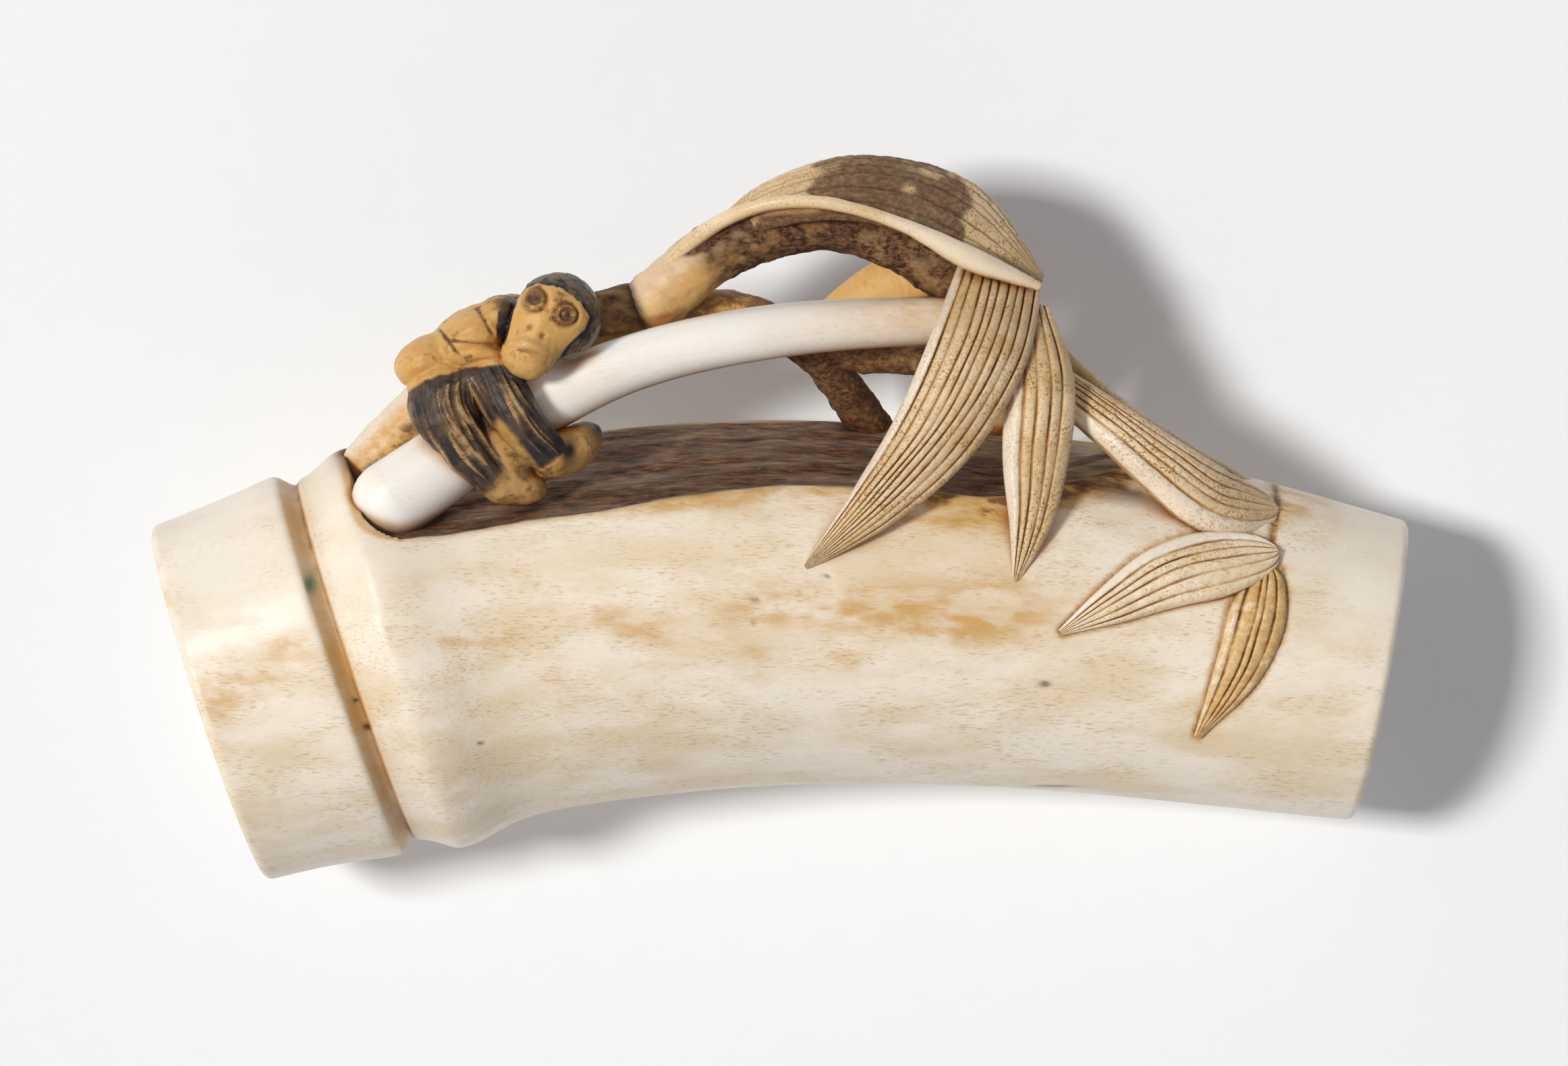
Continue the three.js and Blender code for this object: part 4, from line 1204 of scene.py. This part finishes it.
def antler_finish(
    name, light, dark, mottle, fleck, corner_shade_and_grime, gloss, fleck_way=FLECK_GRAINY, fibre_way=FIBRE_SPECKLED
):
    """Polished antler. Its clouding and flecks are stretched along the culm; marks on the piece darken it to
    honey and brown, and `bare` shows the dark fibre. Painted shade, which also stands for grime, darkens the
    corners between forms by how enclosed they are."""
    m = Mix(name)
    cloud = m.noise(m.per_mm(0.11, 0.26, 0.26), 5, 0.6)
    color = m.blend(m.step(cloud, 0.38, 0.64, 0, mottle), shade(*light), shade(*dark))
    dashes = m.noise(m.per_mm(*fleck_way), 3, 0.6)
    spread = m.step(m.noise(m.per_mm(0.22, 0.5, 0.5), 3), 0.4, 0.62, 0.3, 1.0)
    color = m.blend(m.times(m.times(m.step(dashes, 0.46, 0.68), fleck), spread), color, HONEY)
    color = m.blend(m.times(m.times(m.step(dashes, 0.53, 0.68), fleck), spread), color, BROWN)
    # the pale mark: whiter polish and lighter strands, a painted sheen on the culm and painted highlights on
    # the monkey's lips
    color = m.blend(m.mark("pale"), color, PALE_AND_SHEEN)
    color = m.blend(m.times(m.mark("warm"), m.step(cloud, 0.3, 0.6, 0.55, 1.0)), color, AMBER)
    broken = m.noise(m.per_mm(0.8, 1.8, 1.8), 5, 0.65)
    stain = m.times(m.mark("stain"), m.step(broken, 0.3, 0.62, 0.5, 1.2))
    stain = m.sum(stain, m.times(m.mark("stain"), m.step(dashes, 0.48, 0.7, 0, 0.4)))
    color = m.blend(m.step(stain, 0.0, 0.55, 0, 0.9), color, HONEY)
    color = m.blend(m.step(stain, 0.45, 1.0, 0, 0.9), color, BROWN)
    fibre = m.noise(m.per_mm(*fibre_way), 6, 0.68)
    bare_color = m.blend(m.step(fibre, 0.4, 0.6), DARK_BARK, BARK)
    bare_color = m.blend(m.step(fibre, 0.57, 0.72, 0, 0.75), bare_color, FIBRE)
    bare_color = m.blend(m.step(dashes, 0.6, 0.72, 0, 0.6), bare_color, FIBRE)
    bare_color = m.blend(m.step(cloud, 0.42, 0.62, 0, 0.25), bare_color, DARK_BARK)
    bare = m.mark("bare")
    color = m.blend(bare, color, bare_color)
    color = m.blend(m.times(m.mark("line"), 0.9), color, SOOT_AND_SHADE)
    # painted shade: corners between forms turn amber, then near black, the less open they are; it also stands
    # for grime there
    sky = m.open_sky(CORNER_SHADE_REACH)
    color = m.blend(m.step(sky, 0.45, 0.9, corner_shade_and_grime, 0.0), color, AMBER, "MULTIPLY")
    color = m.blend(m.step(sky, 0.15, 0.5, corner_shade_and_grime, 0.0), color, SOOT_AND_SHADE)
    color = m.blend(m.mark("black"), color, INK)
    color = m.blend(m.mark("verdigris"), color, GREEN)
    uneven = m.noise(m.per_mm(1.1, 1.1, 1.1), 4)
    roughness = m.sum(m.sum(gloss, m.times(bare, 0.4)), m.step(uneven, 0.35, 0.75, 0, 0.1))
    roughness = m.sum(roughness, m.times(m.mark("stain"), 0.15))
    roughness = m.sum(roughness, m.times(m.mark("pale"), 0.2), "SUBTRACT")
    height = m.sum(m.times(m.times(fibre, bare), 1.0), m.times(dashes, -0.12), clamp=False)
    return m.surface(color, roughness, m.bump(height, GRAIN_DEPTH), THROUGH_LIGHT)


# after the two colours: mottle, fleck, the strength of the painted corner shade, and gloss
antler = antler_finish(
    "polished_antler", (237, 225, 206), (222, 202, 168), 0.9, 0.28, 0.75, 0.36, FLECK_DASHED, FIBRE_ALONG
)
stem_antler = antler_finish(
    "white_antler", (239, 233, 224), (234, 221, 200), 0.5, 0.08, 0.75, 0.27, FLECK_DASHED
)
ribbed = antler_finish("ribbed_antler", (220, 198, 163), (192, 164, 124), 0.9, 1.6, 0.8, 0.36)
leaf_skin = antler_finish("leaf_antler", (236, 220, 192), (220, 196, 156), 0.8, 0.6, 0.8, 0.3)
ridged = antler_finish("edge_antler", (226, 204, 168), (210, 180, 134), 0.8, 0.4, 0.8, 0.26)
weathered = antler_finish("weathered_antler", (222, 188, 134), (188, 144, 90), 0.9, 0.8, 0.85, 0.42)
painted = antler_finish("stained_antler", (218, 175, 110), (192, 140, 78), 0.9, 1.0, 0.9, 0.33)


# ---- camera, light and table ----
def camera_above():
    """Straight above the carving, as it lies on its back."""
    height = 0.56
    across = 0.0952  # what the frame takes in at the carving's middle height
    data = bpy.data.cameras.new("camera")
    data.sensor_width = 36
    data.lens = 36 * height / across
    data.clip_start = 0.01
    camera = bpy.data.objects.new("camera", data)
    camera.location = (0.00008, -0.00094, 0.012 + height)
    bpy.context.scene.collection.objects.link(camera)
    bpy.context.scene.camera = camera


def lamp(name, direction, distance, size, power, tint=(1, 1, 1), shadow=True, gloss=True):
    """A soft box that looks at the carving from a direction."""
    data = bpy.data.lights.new(name, "AREA")
    data.shape = "RECTANGLE"
    data.size, data.size_y = size
    data.energy = power
    data.color = tint
    data.use_shadow = shadow
    box = bpy.data.objects.new(name, data)
    away = Vector(direction).normalized()
    box.location = away * distance + Vector((0, 0, 0.01))
    box.rotation_euler = away.to_track_quat("Z", "Y").to_euler()
    box.visible_glossy = gloss
    bpy.context.scene.collection.objects.link(box)


def studio():
    """A pale sky, a main lamp on the left, two weak lamps that fill its shadows, and a white table. The main
    lamp is two in one place, and only the weaker is seen in the gloss."""
    world = bpy.data.worlds.new("studio")
    world.use_nodes = True
    sky = world.node_tree.nodes["Background"]
    sky.inputs["Color"].default_value = (0.95, 0.93, 1.05, 1)
    sky.inputs["Strength"].default_value = 0.14
    bpy.context.scene.world = world
    main = dict(direction=(-0.56, 0.05, 1), distance=2.8, size=(0.45, 0.45), tint=(0.99, 1.0, 0.985))
    lamp("key", power=51, gloss=False, **main)
    lamp("key_gloss", power=18, **main)
    lamp("far_side", (-0.4, 0.58, 1), 1.4, (0.47, 0.35), 3.9, shadow=False)
    lamp("near_side", (0.15, -0.8, 0.6), 1.6, (2.0, 0.8), 3.5, (0.98, 0.97, 1.04), shadow=False)
    bpy.ops.mesh.primitive_plane_add(size=4, location=(0, 0, -0.00003))
    table = bpy.context.object
    table.name = "table"
    paper = Mix("paper")
    texture = paper.noise(paper.per_mm(0.5, 0.5, 0.5))
    color = paper.blend(paper.step(texture, 0.3, 0.7), (0.8, 0.8, 0.803, 1), (0.805, 0.805, 0.808, 1))
    table.data.materials.append(paper.surface(color, 0.7, paper.bump(texture, 0.00001), 0.0))
    bpy.context.scene.view_settings.view_transform = "Standard"


# ---- the carving ----
camera_above()
studio()
culm()
stems()
leaves()
monkey()
